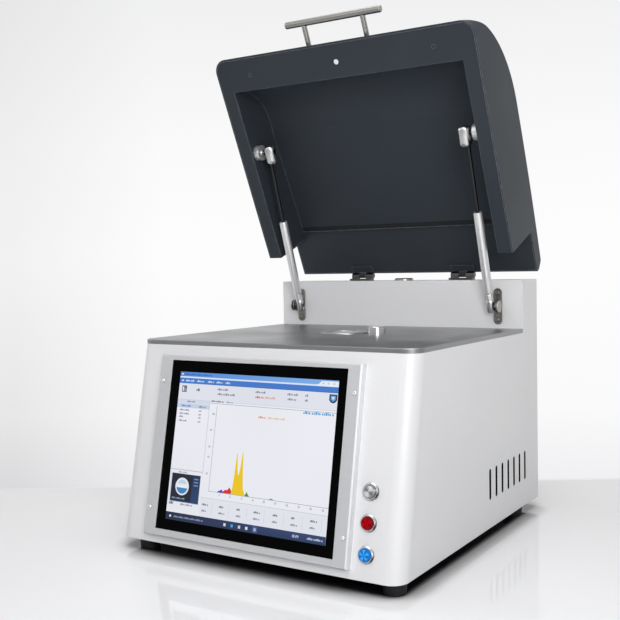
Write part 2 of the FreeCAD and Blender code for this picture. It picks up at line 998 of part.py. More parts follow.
def data_ports():
    """Two data connectors and the network connector, open to the back."""
    shapes = []
    for x, size in port_places():
        mouth = usb_mouth if size is usb_size else lan_mouth
        low = port_floor()
        case = box(x - size[0] / 2, body_depth - size[1], low, x + size[0] / 2, body_depth, low + size[2])
        middle = low + size[2] / 2
        hollow = box(
            x - mouth[0] / 2, body_depth - mouth[1], middle - mouth[2] / 2,
            x + mouth[0] / 2, body_depth, middle + mouth[2] / 2,
        )
        shapes.append(case.cut(hollow))
    return shapes


def fan_screw_places():
    half = fan_screw_spacing / 2
    return [(fan_x + sx * half, fan_z + sz * half) for sx in (-1, 1) for sz in (-1, 1)]


def cooling_fan_frame():
    """Square fan frame with its motor seat on four arms."""
    back = body_depth - sheet
    half = fan_side / 2
    frame = box(fan_x - half, back - fan_depth, fan_z - half, fan_x + half, back, fan_z + half)
    frame = frame.cut(along_y(fan_throat_radius, (fan_x, back - fan_depth, fan_z), fan_depth))
    front = back - fan_depth
    centre = (fan_x, fan_z)
    across = 2 * (fan_throat_radius + 1)
    seat = along_y(fan_hub_radius, (fan_x, front, fan_z), fan_arm_depth)
    level_arm = upright_block(centre, (across, fan_arm_width), front, front + fan_arm_depth)
    upright_arm = upright_block(centre, (fan_arm_width, across), front, front + fan_arm_depth)
    frame = union([frame, seat, level_arm, upright_arm])
    frame = frame.cut(along_y(fan_pin_radius + shaft_clearance, (fan_x, front, fan_z), fan_arm_depth))
    for x, z in fan_screw_places():
        frame = frame.cut(along_y(screw_radius + screw_clearance, (x, front, z), fan_depth))
    return frame


def fan_rotor():
    """Hub and blades on a steel pin that runs in the frame's seat."""
    front = body_depth - sheet - fan_depth
    hub_front = front + fan_arm_depth + fan_gap
    hub_back = body_depth - sheet - fan_gap
    hub = along_y(fan_hub_radius, (fan_x, hub_front, fan_z), hub_back - hub_front)
    pin = along_y(fan_pin_radius, (fan_x, front, fan_z), hub_back - front)
    blades = []
    width = hub_back - hub_front
    for index in range(fan_blade_count):
        length = fan_blade_radius - fan_hub_radius + 1
        blade = block_at((fan_blade_thickness, width, length), 0, 0, fan_hub_radius - 1)
        blade = turned(blade, fan_blade_pitch, (0, 0, 1))
        blade = turned(blade, 360 / fan_blade_count * index, (0, 1, 0))
        blade.translate(Vector(fan_x, (hub_front + hub_back) / 2, fan_z))
        blades.append(blade)
    room = along_y(fan_throat_radius, (fan_x, front, fan_z), fan_depth - fan_gap)
    trimmed = [blade.common(along_y(fan_throat_radius, (fan_x, hub_front, fan_z), width)) for blade in blades]
    return union([hub, pin] + trimmed).common(room)


def fan_guard():
    """Stamped guard of flat rings on two crossed bars, outside the back."""
    back = body_depth
    half = guard_bar / 2
    pieces = []
    for radius in guard_rings:
        ring = along_y(radius + half, (fan_x, back, fan_z), guard_thickness)
        pieces.append(ring.cut(along_y(radius - half, (fan_x, back, fan_z), guard_thickness)))
    length = fan_screw_spacing * math.sqrt(2)
    for turn in (guard_bar_angle, -guard_bar_angle):
        bar = box(-length / 2, back, -half, length / 2, back + guard_thickness, half)
        bar = turned(bar, turn, (0, 1, 0))
        bar.translate(Vector(fan_x, 0, fan_z))
        pieces.append(bar)
    for x, z in fan_screw_places():
        pieces.append(along_y(screw_head_radius, (x, back, z), guard_thickness))
    guard = union(pieces)
    for x, z in fan_screw_places():
        guard = guard.cut(along_y(screw_radius + screw_clearance, (x, back, z), guard_thickness))
    return guard


def fan_screws():
    """Screws through the guard, the back sheet and the fan frame."""
    shapes = []
    start = body_depth - sheet - fan_depth
    for x, z in fan_screw_places():
        head = along_y(screw_head_radius, (x, body_depth + guard_thickness, z), screw_head_height)
        shank = along_y(screw_radius, (x, start, z), body_depth + guard_thickness - start)
        shapes.append(union([head, shank]))
    return shapes


def mains_inlet():
    """Power inlet with three pins and a window for the main switch."""
    width, height, depth = inlet_body
    back = body_depth
    face = back + inlet_flange_thickness
    flange = upright_block((inlet_x, inlet_z), inlet_flange, back, face)
    body = upright_block((inlet_x, inlet_z), (width, height), back - depth, back)
    inlet = union([flange, body])
    middle = inlet_z - socket_drop
    hollow = upright_block((inlet_x, middle), socket_size, face - socket_size[2], face)
    corners = [edge for edge in hollow.Edges if edge.BoundBox.YLength > 1 and edge.BoundBox.ZMax > middle]
    hollow = hollow.makeChamfer(socket_corner, corners)
    inlet = inlet.cut(hollow)
    inlet = inlet.cut(upright_block((inlet_x, rocker_z()), rocker_size, face - rocker_depth(), face))
    start = face - socket_size[2] - 1
    pins = []
    for x_step, z_step in ((-1, -1), (0, 1), (1, -1)):
        centre = (inlet_x + x_step * pin_spacing, middle + z_step * pin_offset)
        pins.append(upright_block(centre, pin_size, start, start + pin_size[2]))
    inlet = union([inlet] + pins)
    return inlet.cut(rocker_pin(rocker_pin_radius + shaft_clearance, rocker_pin_reach()))


def rocker_pin(radius, reach):
    return along_x(radius, (inlet_x - reach, rocker_axis_y(), rocker_z()), 2 * reach)


def rocker_z():
    return inlet_z + rocker_rise


def rocker_axis_y():
    return body_depth + inlet_flange_thickness - rocker_axis_depth


def rocker_depth():
    return rocker_thickness + rocker_clearance


def rocker_pin_reach():
    return rocker_size[0] / 2 + rocker_pin_radius


def main_switch():
    """Rocker of the main switch, drawn switched off, on its cross pin."""
    radius = rocker_size[1] / 2 - rocker_clearance
    length = rocker_size[0] - 2 * rocker_clearance
    start = (inlet_x - length / 2, rocker_axis_y(), rocker_z())
    barrel = along_x(radius, start, length)
    front = rocker_axis_y() + rocker_front
    barrel = barrel.cut(upright_block((inlet_x, rocker_z()), (length * 2, radius * 4), front, front + radius))
    rocker = union([barrel, rocker_pin(rocker_pin_radius, rocker_pin_reach() - shaft_clearance)])
    return turned(rocker, -rocker_tilt, (1, 0, 0), (inlet_x, rocker_axis_y(), rocker_z()))


def interlock_sensor():
    """Magnetic switch under the plate that feels the closed lid."""
    return block_at(sensor_size, 0, magnet_y(), plate_under - sensor_size[2])


# The lid is drawn closed and swung open at the end of each function
def lid_outline(inset):
    """Side outline of the lid as a face, shrunk by an inset."""
    z = plate_top
    front = Vector(0, lid_front_y, rim_z)
    bow = Vector(0, lid_bow_y, z + lid_bow_rise)
    crown = Vector(0, lid_crown_y, z + lid_crown_rise)
    chamfer_top = Vector(0, lid_back_y - lid_back_chamfer_y, z + lid_back_rise)
    chamfer_low = Vector(0, lid_back_y, z + lid_back_rise - lid_back_chamfer_z)
    back_low = Vector(0, lid_back_y, lid_back_under)
    notch_top = Vector(0, notch_top_y, lid_back_under)
    notch_low = Vector(0, notch_bottom_y, rim_z)
    roof = Vector(0, lid_roof_y, z + lid_roof_rise)
    edges = [Part.Arc(front, bow, crown).toShape(), Part.Arc(crown, roof, chamfer_top).toShape()]
    corners = [chamfer_top, chamfer_low, back_low, notch_top, notch_low, front]
    for start, end in zip(corners, corners[1:]):
        edges.append(Part.LineSegment(start, end).toShape())
    face = Part.Face(Part.Wire(edges))
    if inset:
        face = face.makeOffset2D(-inset, 2)
    return face


def lid_block(inset):
    """Solid lid with its two front corners rounded in plan."""
    half = lid_half - inset
    face = lid_outline(inset)
    face.translate(Vector(-half, 0, 0))
    solid = face.extrude(Vector(2 * half, 0, 0))
    plan = box(-half, lid_front_y + inset, plate_under, half, body_depth + lid_corner, tower_top * 2)
    corners = []
    for edge in plan.Edges:
        upright = edge.BoundBox.ZLength > tower_top
        if upright and edge.BoundBox.YMax < body_depth:
            corners.append(edge)
    return solid.common(plan.makeFillet(lid_corner - inset, corners))


def lid_hollow():
    """Room inside the lid's walls, open below and towards the tower."""
    inside = lid_half - lid_sheet
    inner = lid_block(lid_sheet)
    lower = inner.copy()
    lower.translate(Vector(0, 0, -lid_mouth_drop))
    back = box(-inside, lid_crown_y, rim_z, inside, notch_top_y, lid_back_under + lid_sheet)
    return inner.fuse([lower, back])


def lid_shell():
    """Curved cover of the lid, open below, with its side walls."""
    return opened(lid_block(0).cut(lid_hollow()))


def notch_y(z):
    """Rear edge of the lid's side at a height, in front of the tower."""
    share = (z - rim_z) / (lid_back_under - rim_z)
    return notch_bottom_y + share * (notch_top_y - notch_bottom_y)


def flange_front_y():
    return lid_front_y + rim_front_depth


def lid_rim():
    """Turned-in rim that lies on the plate, with its two end caps."""
    inside = lid_half - lid_sheet
    top = rim_z + lid_sheet
    pieces = [box(-inside, lid_front_y, rim_z, inside, flange_front_y(), top)]
    for side in (-1, 1):
        x0 = min(side * opening_half, side * inside)
        x1 = max(side * opening_half, side * inside)
        pieces.append(box(x0, flange_front_y(), rim_z, x1, notch_bottom_y - lid_sheet / 2, top))
        cap = [
            (notch_y(rim_z) - lid_sheet, rim_z),
            (notch_y(rim_z), rim_z),
            (notch_y(lid_back_under), lid_back_under),
            (notch_y(lid_back_under) - lid_sheet, lid_back_under),
        ]
        pieces.append(side_profile(cap, x0, x1))
    rim = union(pieces).common(lid_hollow())
    rim = rim.cut(along_z(magnet_radius, (0, magnet_y(), rim_z - lid_sheet), magnet_length))
    for side in (-1, 1):
        start = (side * rim_screw_x, magnet_y(), rim_z)
        rim = rim.cut(along_z(small_head_radius + screw_clearance, start, lid_sheet))
    return opened(rim)


def magnet_y():
    return lid_front_y + rim_screw_setback


def interlock_magnet():
    """White plug with the magnet that the sensor below the plate feels."""
    return opened(along_z(magnet_radius, (0, magnet_y(), rim_z - magnet_proud), magnet_length))


def rim_screws():
    """Flush screws of the rim, each with its nut above the sheet."""
    shapes = []
    for side in (-1, 1):
        x = side * rim_screw_x
        head = along_z(small_head_radius, (x, magnet_y(), rim_z), lid_sheet)
        nut = hexagon(nut_radius, (x, magnet_y(), rim_z + lid_sheet), nut_height)
        shapes.append(opened(union([head, nut])))
    return shapes


def liner_room():
    """Side outline of the tested room as a face, curved like the lid's front."""
    back = liner_back_y - liner_sheet
    front = Vector(0, flange_front_y(), rim_z)
    bow = Vector(0, liner_bow_y, plate_top + liner_bow_rise)
    crown = Vector(0, liner_crown_y, plate_top + liner_crown_rise)
    corners = [crown, Vector(0, back, lid_back_under - liner_sheet), Vector(0, back, rim_z), front]
    edges = [Part.Arc(front, bow, crown).toShape()]
    for start, end in zip(corners, corners[1:]):
        edges.append(Part.LineSegment(start, end).toShape())
    return Part.Face(Part.Wire(edges))


def across(face, half):
    """Push a side outline across the width, the same to both sides."""
    face.translate(Vector(-half, 0, 0))
    return face.extrude(Vector(2 * half, 0, 0))


def lid_liner():
    """Inner shielding tray: curved front, roof, side walls and a rear lip."""
    wall = liner_sheet
    low = rim_z + lid_sheet
    outer = opening_half + wall
    front_y = flange_front_y() - wall
    front = across(liner_room().makeOffset2D(wall, 2), outer)
    front = front.common(box(-outer, front_y, low, outer, liner_back_y, lid_back_under))
    rear = [
        (liner_back_y - wall, low),
        (liner_back_y - wall, lid_back_under),
        (notch_y(lid_back_under) - lid_sheet, lid_back_under),
        (notch_y(low) - lid_sheet, low),
    ]
    block = union([front, side_profile(rear, -outer, outer)])
    lip_low = lid_back_under - liner_lip
    opening = [
        (liner_back_y - wall, rim_z),
        (liner_back_y - wall, lip_low),
        (liner_back_y, lip_low),
        (liner_back_y, tower_top * 2),
        (body_depth, tower_top * 2),
        (body_depth, rim_z),
    ]
    block = block.cut(across(liner_room(), opening_half))
    return opened(block.cut(side_profile(opening, -opening_half, opening_half)))


def lid_rear_panel():
    """Underside of the lid over the tower, where the hinges bolt on."""
    inside = lid_half - lid_sheet
    front = liner_back_y - liner_sheet
    back = lid_back_y - lid_sheet
    return opened(box(-inside, front, lid_back_under, inside, back, lid_back_under + lid_sheet))


def handle_z():
    return plate_top + handle_rise


def handle_y():
    return front_face_y(handle_z()) - handle_reach


def front_face_y(z):
    """Depth of the lid's curved front at a height near its foot."""
    line = Part.LineSegment(Vector(0, lid_front_y - handle_reach, z), Vector(0, lid_crown_y, z)).toShape()
    crossing = lid_outline(0).common(line)
    return crossing.BoundBox.YMin


def lift_handle():
    """Round bar on two welded posts that stand on the lid's front."""
    bar = along_x(handle_radius, (-handle_length / 2, handle_y(), handle_z()), handle_length)
    ends = [edge for edge in bar.Edges if edge.BoundBox.XLength < 1]
    pieces = [bar.makeFillet(handle_edge, ends)]
    for side in (-1, 1):
        start = (side * handle_spacing / 2, handle_y(), handle_z())
        post = along_y(handle_post_radius, start, handle_reach + lid_corner)
        pieces.append(post.cut(lid_block(0)))
    return opened(union(pieces))


def hinge_span(side):
    return side * hinge_x - hinge_width / 2, side * hinge_x + hinge_width / 2


def knuckle(x0, x1):
    return along_x(knuckle_radius, (x0, hinge_y, hinge_z), x1 - x0)


def pin_hole(x0, x1):
    return along_x(pin_radius + pin_clearance, (x0, hinge_y, hinge_z), x1 - x0)


def knuckle_split(side):
    """Ends of the middle knuckle, which belongs to the lid."""
    x0, x1 = hinge_span(side)
    third = hinge_width * knuckle_share
    return x0 + third, x1 - third


def hinge_base_leaves():
    """Leaves on the tower top, each with two outer knuckles."""
    shapes = []
    for side in (-1, 1):
        x0, x1 = hinge_span(side)
        middle0, middle1 = knuckle_split(side)
        leaf = box(x0, hinge_y - base_leaf_depth, tower_top, x1, body_depth, tower_top + leaf_thickness)
        pieces = [leaf]
        for low, high in ((x0, middle0 - knuckle_gap), (middle1 + knuckle_gap, x1)):
            pieces.append(knuckle(low, high))
            pieces.append(box(low, hinge_y - knuckle_radius, tower_top, high, hinge_y, hinge_z))
        shapes.append(union(pieces).cut(pin_hole(x0, x1)))
    return shapes


def hinge_lid_leaves():
    """Leaves under the lid, each with the middle knuckle."""
    shapes = []
    for side in (-1, 1):
        x0, x1 = hinge_span(side)
        middle0, middle1 = knuckle_split(side)
        low = lid_back_under - leaf_thickness
        clear = hinge_y - knuckle_radius - leaf_thickness / 2
        leaf = box(x0, hinge_y - lid_leaf_depth, low, x1, clear, lid_back_under)
        web = box(middle0, clear, hinge_z, middle1, hinge_y, lid_back_under)
        hinge = union([leaf, web, knuckle(middle0, middle1)])
        shapes.append(opened(hinge.cut(pin_hole(x0, x1))))
    return shapes


def hinge_pins():
    starts = [(hinge_span(side)[0], hinge_y, hinge_z) for side in (-1, 1)]
    return [along_x(pin_radius, start, hinge_width) for start in starts]


def lid_stop():
    """Low steel button on the tower top, between the hinges."""
    stop = along_z(stop_radius, (stop_x, stop_y, tower_top), stop_height)
    rims = [edge for edge in stop.Edges if edge.BoundBox.ZMin > tower_top + stop_height / 2]
    return stop.makeChamfer(stop_height / 2, rims)


# Gas struts: each is drawn upright from its lower ball and then tilted
def strut_low_point():
    return strut_low_y, plate_top + strut_low_rise


def strut_high_point():
    return opened_point(strut_high_y, plate_top + strut_high_rise)


def strut_reach():
    low = strut_low_point()
    high = strut_high_point()
    return math.hypot(high[0] - low[0], high[1] - low[1])


def strut_tilt():
    low = strut_low_point()
    high = strut_high_point()
    return -math.degrees(math.atan2(high[0] - low[0], high[1] - low[1]))


def placed_strut(shape, side):
    """Set an upright strut piece on its lower ball, tilted to the upper one."""
    low = strut_low_point()
    tilted = turned(shape, strut_tilt(), (1, 0, 0))
    tilted.translate(Vector(side * strut_x, low[0], low[1]))
    return tilted


def ball_at(radius, centre):
    return Part.makeSphere(radius, Vector(*centre), Vector(1, 0, 0))


def socket_hollow(side, height, ball):
    """Room for a ball and for its neck towards the outside."""
    room = ball + ball_clearance
    reach = upper_socket_radius * 2
    sphere = ball_at(room, (0, 0, height))
    neck = along_x(neck_radius + neck_room, (min(0, side * reach), 0, height), reach)
    return sphere.fuse(neck)


def strut_tube(side):
    """Pressure tube with its guide and the lower ball socket."""
    start = strut_tube_start
    end = start + strut_tube_length
    tube = along_z(tube_outer, (0, 0, start), strut_tube_length)
    bore = along_z(tube_bore, (0, 0, start + tube_end_wall), strut_tube_length - tube_end_wall - guide_length)
    tube = tube.cut(bore).cut(along_z(rod_radius + rod_clearance, (0, 0, end - guide_length), guide_length))
    eye = along_z(lower_socket_radius, (0, 0, -lower_socket_below), lower_socket_below + lower_socket_above)
    ends = [edge for edge in eye.Edges if edge.BoundBox.ZMax < 0]
    eye = eye.makeFillet(lower_socket_round, ends)
    neck = along_z(lower_neck_radius, (0, 0, lower_socket_above), start - lower_socket_above)
    socket = union([eye, neck]).cut(socket_hollow(side, 0, lower_ball_radius))
    return [placed_strut(tube, side), placed_strut(socket, side)]


def strut_rod(side):
    """Polished rod with its piston, the upper socket and the ball stud."""
    reach = strut_reach()
    tube_end = strut_tube_start + strut_tube_length
    tail = tube_end - rod_tail
    socket_low = reach - upper_socket_below
    rod = along_z(rod_radius, (0, 0, tail), socket_low - tail)
    piston = along_z(piston_radius, (0, 0, tail), piston_length)
    inward = -side * upper_socket_inset
    socket = along_z(upper_socket_radius, (inward, 0, socket_low), upper_socket_below + upper_socket_above)
    ends = [edge for edge in socket.Edges if edge.BoundBox.ZMin > reach]
    socket = socket.makeFillet(upper_socket_round, ends)
    hole_length = upper_socket_radius * 2
    hole = along_x(upper_socket_hole, (min(0, -side * hole_length), 0, reach), hole_length)
    socket = socket.cut(socket_hollow(side, reach, upper_ball_radius).fuse(hole))
    ball = ball_at(upper_ball_radius, (0, 0, reach))
    neck_end = upper_stub_start() - neck_gap - strut_x
    neck = along_x(neck_radius, (min(0, side * neck_end), 0, reach), neck_end)
    stud = union([ball, neck])
    return [placed_strut(shape, side) for shape in (union([rod, piston]), socket, stud)]


def upper_stub_start():
    """Distance from the middle at which the lid's fixed stub begins."""
    return opening_half - upper_disc_length - upper_stub_length


def upper_strut_mounts():
    """Round seats on the lid's inner walls that carry the upper studs."""
    shapes = []
    y = strut_high_y
    z = plate_top + strut_high_rise
    for side in (-1, 1):
        disc_x = min(side * opening_half, side * (opening_half - upper_disc_length))
        disc = along_x(upper_disc_radius, (disc_x, y, z), upper_disc_length)
        stub_length = upper_stub_length + upper_disc_length
        stub_x = min(side * upper_stub_start(), side * (upper_stub_start() + stub_length))
        stub = along_x(upper_stub_radius, (stub_x, y, z), stub_length)
        shapes.append(opened(union([disc, stub])))
    return shapes


def bracket_middle(side):
    return side * (strut_x + bracket_offset)


def bracket_screw_places():
    low = strut_low_point()
    half = bracket_screw_spacing / 2
    return [(bracket_middle(side), low[1] + step * half) for side in (-1, 1) for step in (-1, 1)]


def lower_strut_brackets():
    """Oblong plates on the tower, each with an ear and a ball stud."""
    shapes = []
    low = strut_low_point()
    back = tower_front
    front = back - bracket_thickness
    for side in (-1, 1):
        middle = bracket_middle(side)
        half = bracket_width / 2
        straight = (bracket_height - bracket_width) / 2
        plate = box(middle - half, front, low[1] - straight, middle + half, back, low[1] + straight)
        ends = []
        for end_z in (low[1] - straight, low[1] + straight):
            ends.append(along_y(half, (middle, front, end_z), bracket_thickness))
        outer = middle + side * half
        inner = outer - side * ear_thickness
        ear_x = min(inner, outer)
        ear_y = low[0] + ear_setback
        ear = box(ear_x, ear_y, low[1] - ear_radius, ear_x + ear_thickness, back, low[1] + ear_radius)
        ear_end = along_x(ear_radius, (ear_x, ear_y, low[1]), ear_thickness)
        head_x = min(outer, outer + side * stud_head_height)
        head = along_x(stud_head_radius, (head_x, low[0], low[1]), stud_head_height)
        ball_x = side * strut_x
        neck = along_x(neck_radius, (min(ball_x, outer), low[0], low[1]), abs(outer - ball_x))
        ball = ball_at(lower_ball_radius, (ball_x, low[0], low[1]))
        bracket = union([plate] + ends + [ear, ear_end, head, neck, ball])
        for x, z in bracket_screw_places():
            hole = along_y(screw_radius + screw_clearance, (x, front, z), bracket_thickness)
            bracket = bracket.cut(hole)
        shapes.append(bracket)
    return shapes


def steel_screws():
    """Round headed screws of the fan and of the strut brackets."""
    return fan_screws() + bracket_screws()


def bracket_screws():
    """Screws of the strut brackets, with nuts behind the tower's front."""
    shapes = []
    front = tower_front - bracket_thickness
    for x, z in bracket_screw_places():
        head = along_y(screw_head_radius, (x, front - screw_head_height, z), screw_head_height)
        shank = along_y(screw_radius, (x, front, z), bracket_thickness + sheet + nut_height)
        nut = turned(hexagon(nut_radius, (0, 0, 0), nut_height), -90, (1, 0, 0))
        nut.translate(Vector(x, tower_front + sheet, z))
        shapes.append(union([head, shank, nut]))
    return shapes


def origin_shift():
    """Distance from the front edge to the middle of the outline in plan."""
    front = (frame_low + frame_edge) * math.sin(lean) - frame_thickness * math.cos(lean)
    back = opened_point(lid_back_y - lid_back_chamfer_y, plate_top + lid_back_rise)[0]
    return (front + back) / 2


def save(name, made):
    """Write one node, shifted so that the origin is under its middle."""
    shapes = made if isinstance(made, list) else [made]
    solids = [solid.copy() for shape in shapes for solid in shape.Solids]
    for solid in solids:
        solid.translate(Vector(0, -origin_shift(), 0))
    whole = solids[0] if len(solids) == 1 else Part.makeCompound(solids)
    whole.exportStep(os.path.join("parts", name + ".step"))


os.makedirs("parts", exist_ok=True)

makers = [
    base_pan,
    feet,
    foot_screws,
    front_panel,
    left_side_panel,
    right_side_panel,
    rear_panel,
    top_plate,
    window_ring,
    window_film,
    sample_post,
    display_frame,
    touch_glass,
    lcd_panel,
    display_back_plate,
    frame_screws,
    button_bezels,
    button_nuts,
    switch_bodies,
    measuring_head,
    detector,
    camera_module,
    filter_wheel,
    wheel_motor,
    tube_housing,
    xray_tube,
    high_voltage_supply,
    power_supply,
    board_standoffs,
    circuit_boards,
    heat_sink,
    data_ports,
    cooling_fan_frame,
    fan_rotor,
    fan_guard,
    mains_inlet,
    main_switch,
    interlock_sensor,
    lid_shell,
    lid_rim,
    interlock_magnet,
    rim_screws,
    lid_liner,
    lid_rear_panel,
    lift_handle,
    hinge_base_leaves,
    hinge_lid_leaves,
    hinge_pins,
    upper_strut_mounts,
    lower_strut_brackets,
    steel_screws,
    lid_stop,
    tower_cover,
]

for maker in makers:
    save(maker.__name__, maker())
for index, name in enumerate(button_names):
    save(name, button(index))
for side, name in ((-1, "left"), (1, "right")):
    save(name + "_strut_tube", strut_tube(side))
    save(name + "_strut_rod", strut_rod(side))
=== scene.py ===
import math

import bmesh
import bpy
from mathutils import Matrix, Vector


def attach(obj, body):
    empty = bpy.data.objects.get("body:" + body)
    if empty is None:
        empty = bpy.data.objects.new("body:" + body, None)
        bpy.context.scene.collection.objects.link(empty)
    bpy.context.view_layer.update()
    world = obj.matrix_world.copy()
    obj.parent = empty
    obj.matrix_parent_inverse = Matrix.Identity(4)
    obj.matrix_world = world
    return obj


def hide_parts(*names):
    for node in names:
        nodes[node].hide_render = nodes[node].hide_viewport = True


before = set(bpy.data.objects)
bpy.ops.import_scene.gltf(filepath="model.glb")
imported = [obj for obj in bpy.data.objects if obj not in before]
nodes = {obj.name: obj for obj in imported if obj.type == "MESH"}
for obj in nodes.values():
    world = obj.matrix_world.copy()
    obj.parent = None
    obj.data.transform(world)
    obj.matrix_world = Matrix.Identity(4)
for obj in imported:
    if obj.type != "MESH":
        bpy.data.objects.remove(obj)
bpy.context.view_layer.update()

# ---------------------------------------------------------------- viewpoint
# The tester is seen from its front right corner, from a little above the
# sample plate, with a lens of normal length.
camera_place = Vector((0.67116, -1.14177, 0.37122))
camera_heading = math.radians(32.12)
camera_dip = math.radians(2.35)
camera_roll = math.radians(-0.98)

ahead = Vector((
    -math.sin(camera_heading) * math.cos(camera_dip),
    math.cos(camera_heading) * math.cos(camera_dip),
    -math.sin(camera_dip),
))
level_right = Vector((math.cos(camera_heading), math.sin(camera_heading), 0))
level_up = level_right.cross(ahead)
view_right = level_right * math.cos(camera_roll) + level_up * math.sin(camera_roll)
view_up = level_up * math.cos(camera_roll) - level_right * math.sin(camera_roll)

put_in_scene = bpy.context.scene.collection.objects.link
lens = bpy.data.cameras.new("camera")
lens.lens = 53.41
lens.sensor_width = 36
lens.shift_x = -0.00715
lens.shift_y = -0.0070
camera = bpy.data.objects.new("camera", lens)
turn = Matrix((view_right, view_up, -ahead)).transposed().to_4x4()
camera.matrix_world = Matrix.Translation(camera_place) @ turn
put_in_scene(camera)
bpy.context.scene.camera = camera


# ---------------------------------------------------------------- feet
# Four moulded black rubber feet under the floor pan, narrower at the bench,
# each held by one screw that sits deep in its recess.
def tint(code):
    """Linear colour of a six-digit colour code."""
    parts = [int(code[step:step + 2], 16) / 255 for step in (0, 2, 4)]
    return tuple(((part + 0.055) / 1.055) ** 2.4 for part in parts) + (1.0,)


def effect_group(name, inputs, outputs):
    """Empty shader group with its named sockets, and its two end nodes."""
    group = bpy.data.node_groups.new(name, "ShaderNodeTree")
    for label, value in inputs.items():
        kind = "NodeSocketFloat"
        if not isinstance(value, float):
            kind = "NodeSocketColor" if len(value) == 4 else "NodeSocketVector"
        socket = group.interface.new_socket(label, in_out="INPUT", socket_type=kind)
        socket.default_value = value
    for label, kind in outputs.items():
        group.interface.new_socket(label, in_out="OUTPUT", socket_type="NodeSocket" + kind)
    given = group.nodes.new("NodeGroupInput").outputs
    return group, given, group.nodes.new("NodeGroupOutput").inputs


def give(group, result, **values):
    """Link values to the outputs of a shader group."""
    for label, value in values.items():
        group.links.new(value, result[label])


def add(tree, kind, links, **options):
    """New shader node with its options set and its sockets linked or set."""
    made = tree.nodes.new("ShaderNode" + kind)
    for option, value in options.items():
        setattr(made, option, value)
    for socket, value in links.items():
        if isinstance(value, bpy.types.NodeSocket):
            tree.links.new(value, made.inputs[socket])
        else:
            made.inputs[socket].default_value = value
    return made.outputs


def maths(tree, operation, *values):
    """Result of one step of arithmetic on numbers."""
    return add(tree, "Math", dict(enumerate(values)), operation=operation)[0]


def vector_maths(tree, operation, *values):
    """Result of one step on vectors: a number for a product or a length."""
    made = add(tree, "VectorMath", dict(enumerate(values)), operation=operation)
    return made["Value" if operation in ("DOT_PRODUCT", "LENGTH") else "Vector"]


def scaled(tree, vector, factor):
    """Vector or colour times a number."""
    return add(tree, "VectorMath", {0: vector, 3: factor}, operation="SCALE")["Vector"]


def blend_colours(tree, factor, first, second):
    """First colour, turning into the second as the factor goes from 0 to 1."""
    return add(tree, "Mix", {0: factor, 6: first, 7: second}, data_type="RGBA")[2]


def spread(tree, value, low, high, new_low, new_high):
    """Value moved from one span to another and held inside it."""
    links = {0: value, 1: low, 2: high, 3: new_low, 4: new_high}
    return add(tree, "MapRange", links)[0]


def finish_group(name, **details):
    """Shader group of a finish, its two end nodes and the place on the piece."""
    inputs = {"Colour": (0.5, 0.5, 0.5, 1.0), "Shade": (0.4, 0.4, 0.4, 1.0), "Roughness": 0.5}
    outputs = {"Colour": "Color", "Roughness": "Float", "Height": "Float"}
    group, given, result = effect_group(name, {**inputs, **details}, outputs)
    return group, given, result, add(group, "TexCoord", {})["Object"]


def fine_grain_group():
    """Pebbled skin of paint, rubber and moulded plastic, with slow clouding."""
    group, given, result, place = finish_group("fine_grain", Grain=0.001)
    scale = maths(group, "DIVIDE", 1.0, given["Grain"])
    grain = add(group, "TexNoise", {"Vector": place, "Scale": scale, "Detail": 2.0})[0]
    cloud = add(group, "TexNoise", {"Vector": place, "Scale": 6.0, "Detail": 2.0})[0]
    both = maths(group, "ADD", grain, cloud)
    share = spread(group, both, 0.7, 1.3, 0.0, 1.0)
    rough_change = spread(group, both, 0.7, 1.3, -0.05, 0.05)
    colour = blend_colours(group, share, given["Colour"], given["Shade"])
    rough = maths(group, "ADD", given["Roughness"], rough_change)
    give(group, result, Colour=colour, Roughness=rough, Height=grain)
    return group


def worn_and_lit_edge_group():
    """Mask of the edges that get a lighter colour: partly wear from handling, partly a painted
    highlight where the edges catch light.
    """
    group, given, result = effect_group(
        "worn_and_lit_edge", {"Width": 0.001, "Amount": 0.5}, {"Mask": "Float"}
    )
    rounded = add(group, "Bevel", {"Radius": given["Width"]}, samples=4)[0]
    flat = add(group, "NewGeometry", {})["Normal"]
    facing = vector_maths(group, "DOT_PRODUCT", rounded, flat)
    edge = spread(group, facing, 1.0, 0.75, 0.0, 1.0)
    place = add(group, "TexCoord", {})["Object"]
    patches = add(group, "TexNoise", {"Vector": place, "Scale": 90.0, "Detail": 3.0})[0]
    patchy = spread(group, patches, 0.3, 0.6, 0.4, 1.0)
    worn_and_lit = maths(group, "MULTIPLY", edge, patchy)
    mask = maths(group, "MULTIPLY", worn_and_lit, given["Amount"])
    give(group, result, Mask=mask)
    return group


fine_grain = fine_grain_group()
worn_and_lit_edge = worn_and_lit_edge_group()


def finish(
    name, effect, colours, roughness, details, relief, edge_radius, edge=None, **shader_values
):
    """Material whose colour, roughness and height come from a finish group."""
    material = bpy.data.materials.new(name)
    material.use_nodes = True
    tree = material.node_tree
    shader = tree.nodes["Principled BSDF"].inputs
    for socket, value in shader_values.items():
        shader[socket.replace("_", " ")].default_value = value
    values = dict(zip(("Colour", "Shade"), map(tint, colours)), Roughness=roughness, **details)
    look = add(tree, "Group", values, node_tree=effect)
    colour = look["Colour"]
    # Edges turn towards the edge colour: partly wear, partly a painted highlight.
    if edge:
        worn_and_lit_colour, amount = edge
        values = {"Width": edge_radius, "Amount": amount}
        worn_and_lit = add(tree, "Group", values, node_tree=worn_and_lit_edge)["Mask"]
        colour = blend_colours(tree, worn_and_lit, colour, tint(worn_and_lit_colour))
    tree.links.new(colour, shader["Base Color"])
    tree.links.new(look["Roughness"], shader["Roughness"])
    rounded = add(tree, "Bevel", {"Radius": edge_radius}, samples=4)[0]
    bump = add(tree, "Bump", {"Distance": relief, "Height": look["Height"], "Normal": rounded})[0]
    tree.links.new(bump, shader["Normal"])
    return material


def dress(material, *names):
    """Give a finish to nodes that keep their own shape."""
    for name in names:
        for slot in nodes[name].material_slots:
            slot.link = "OBJECT"
            slot.material = material


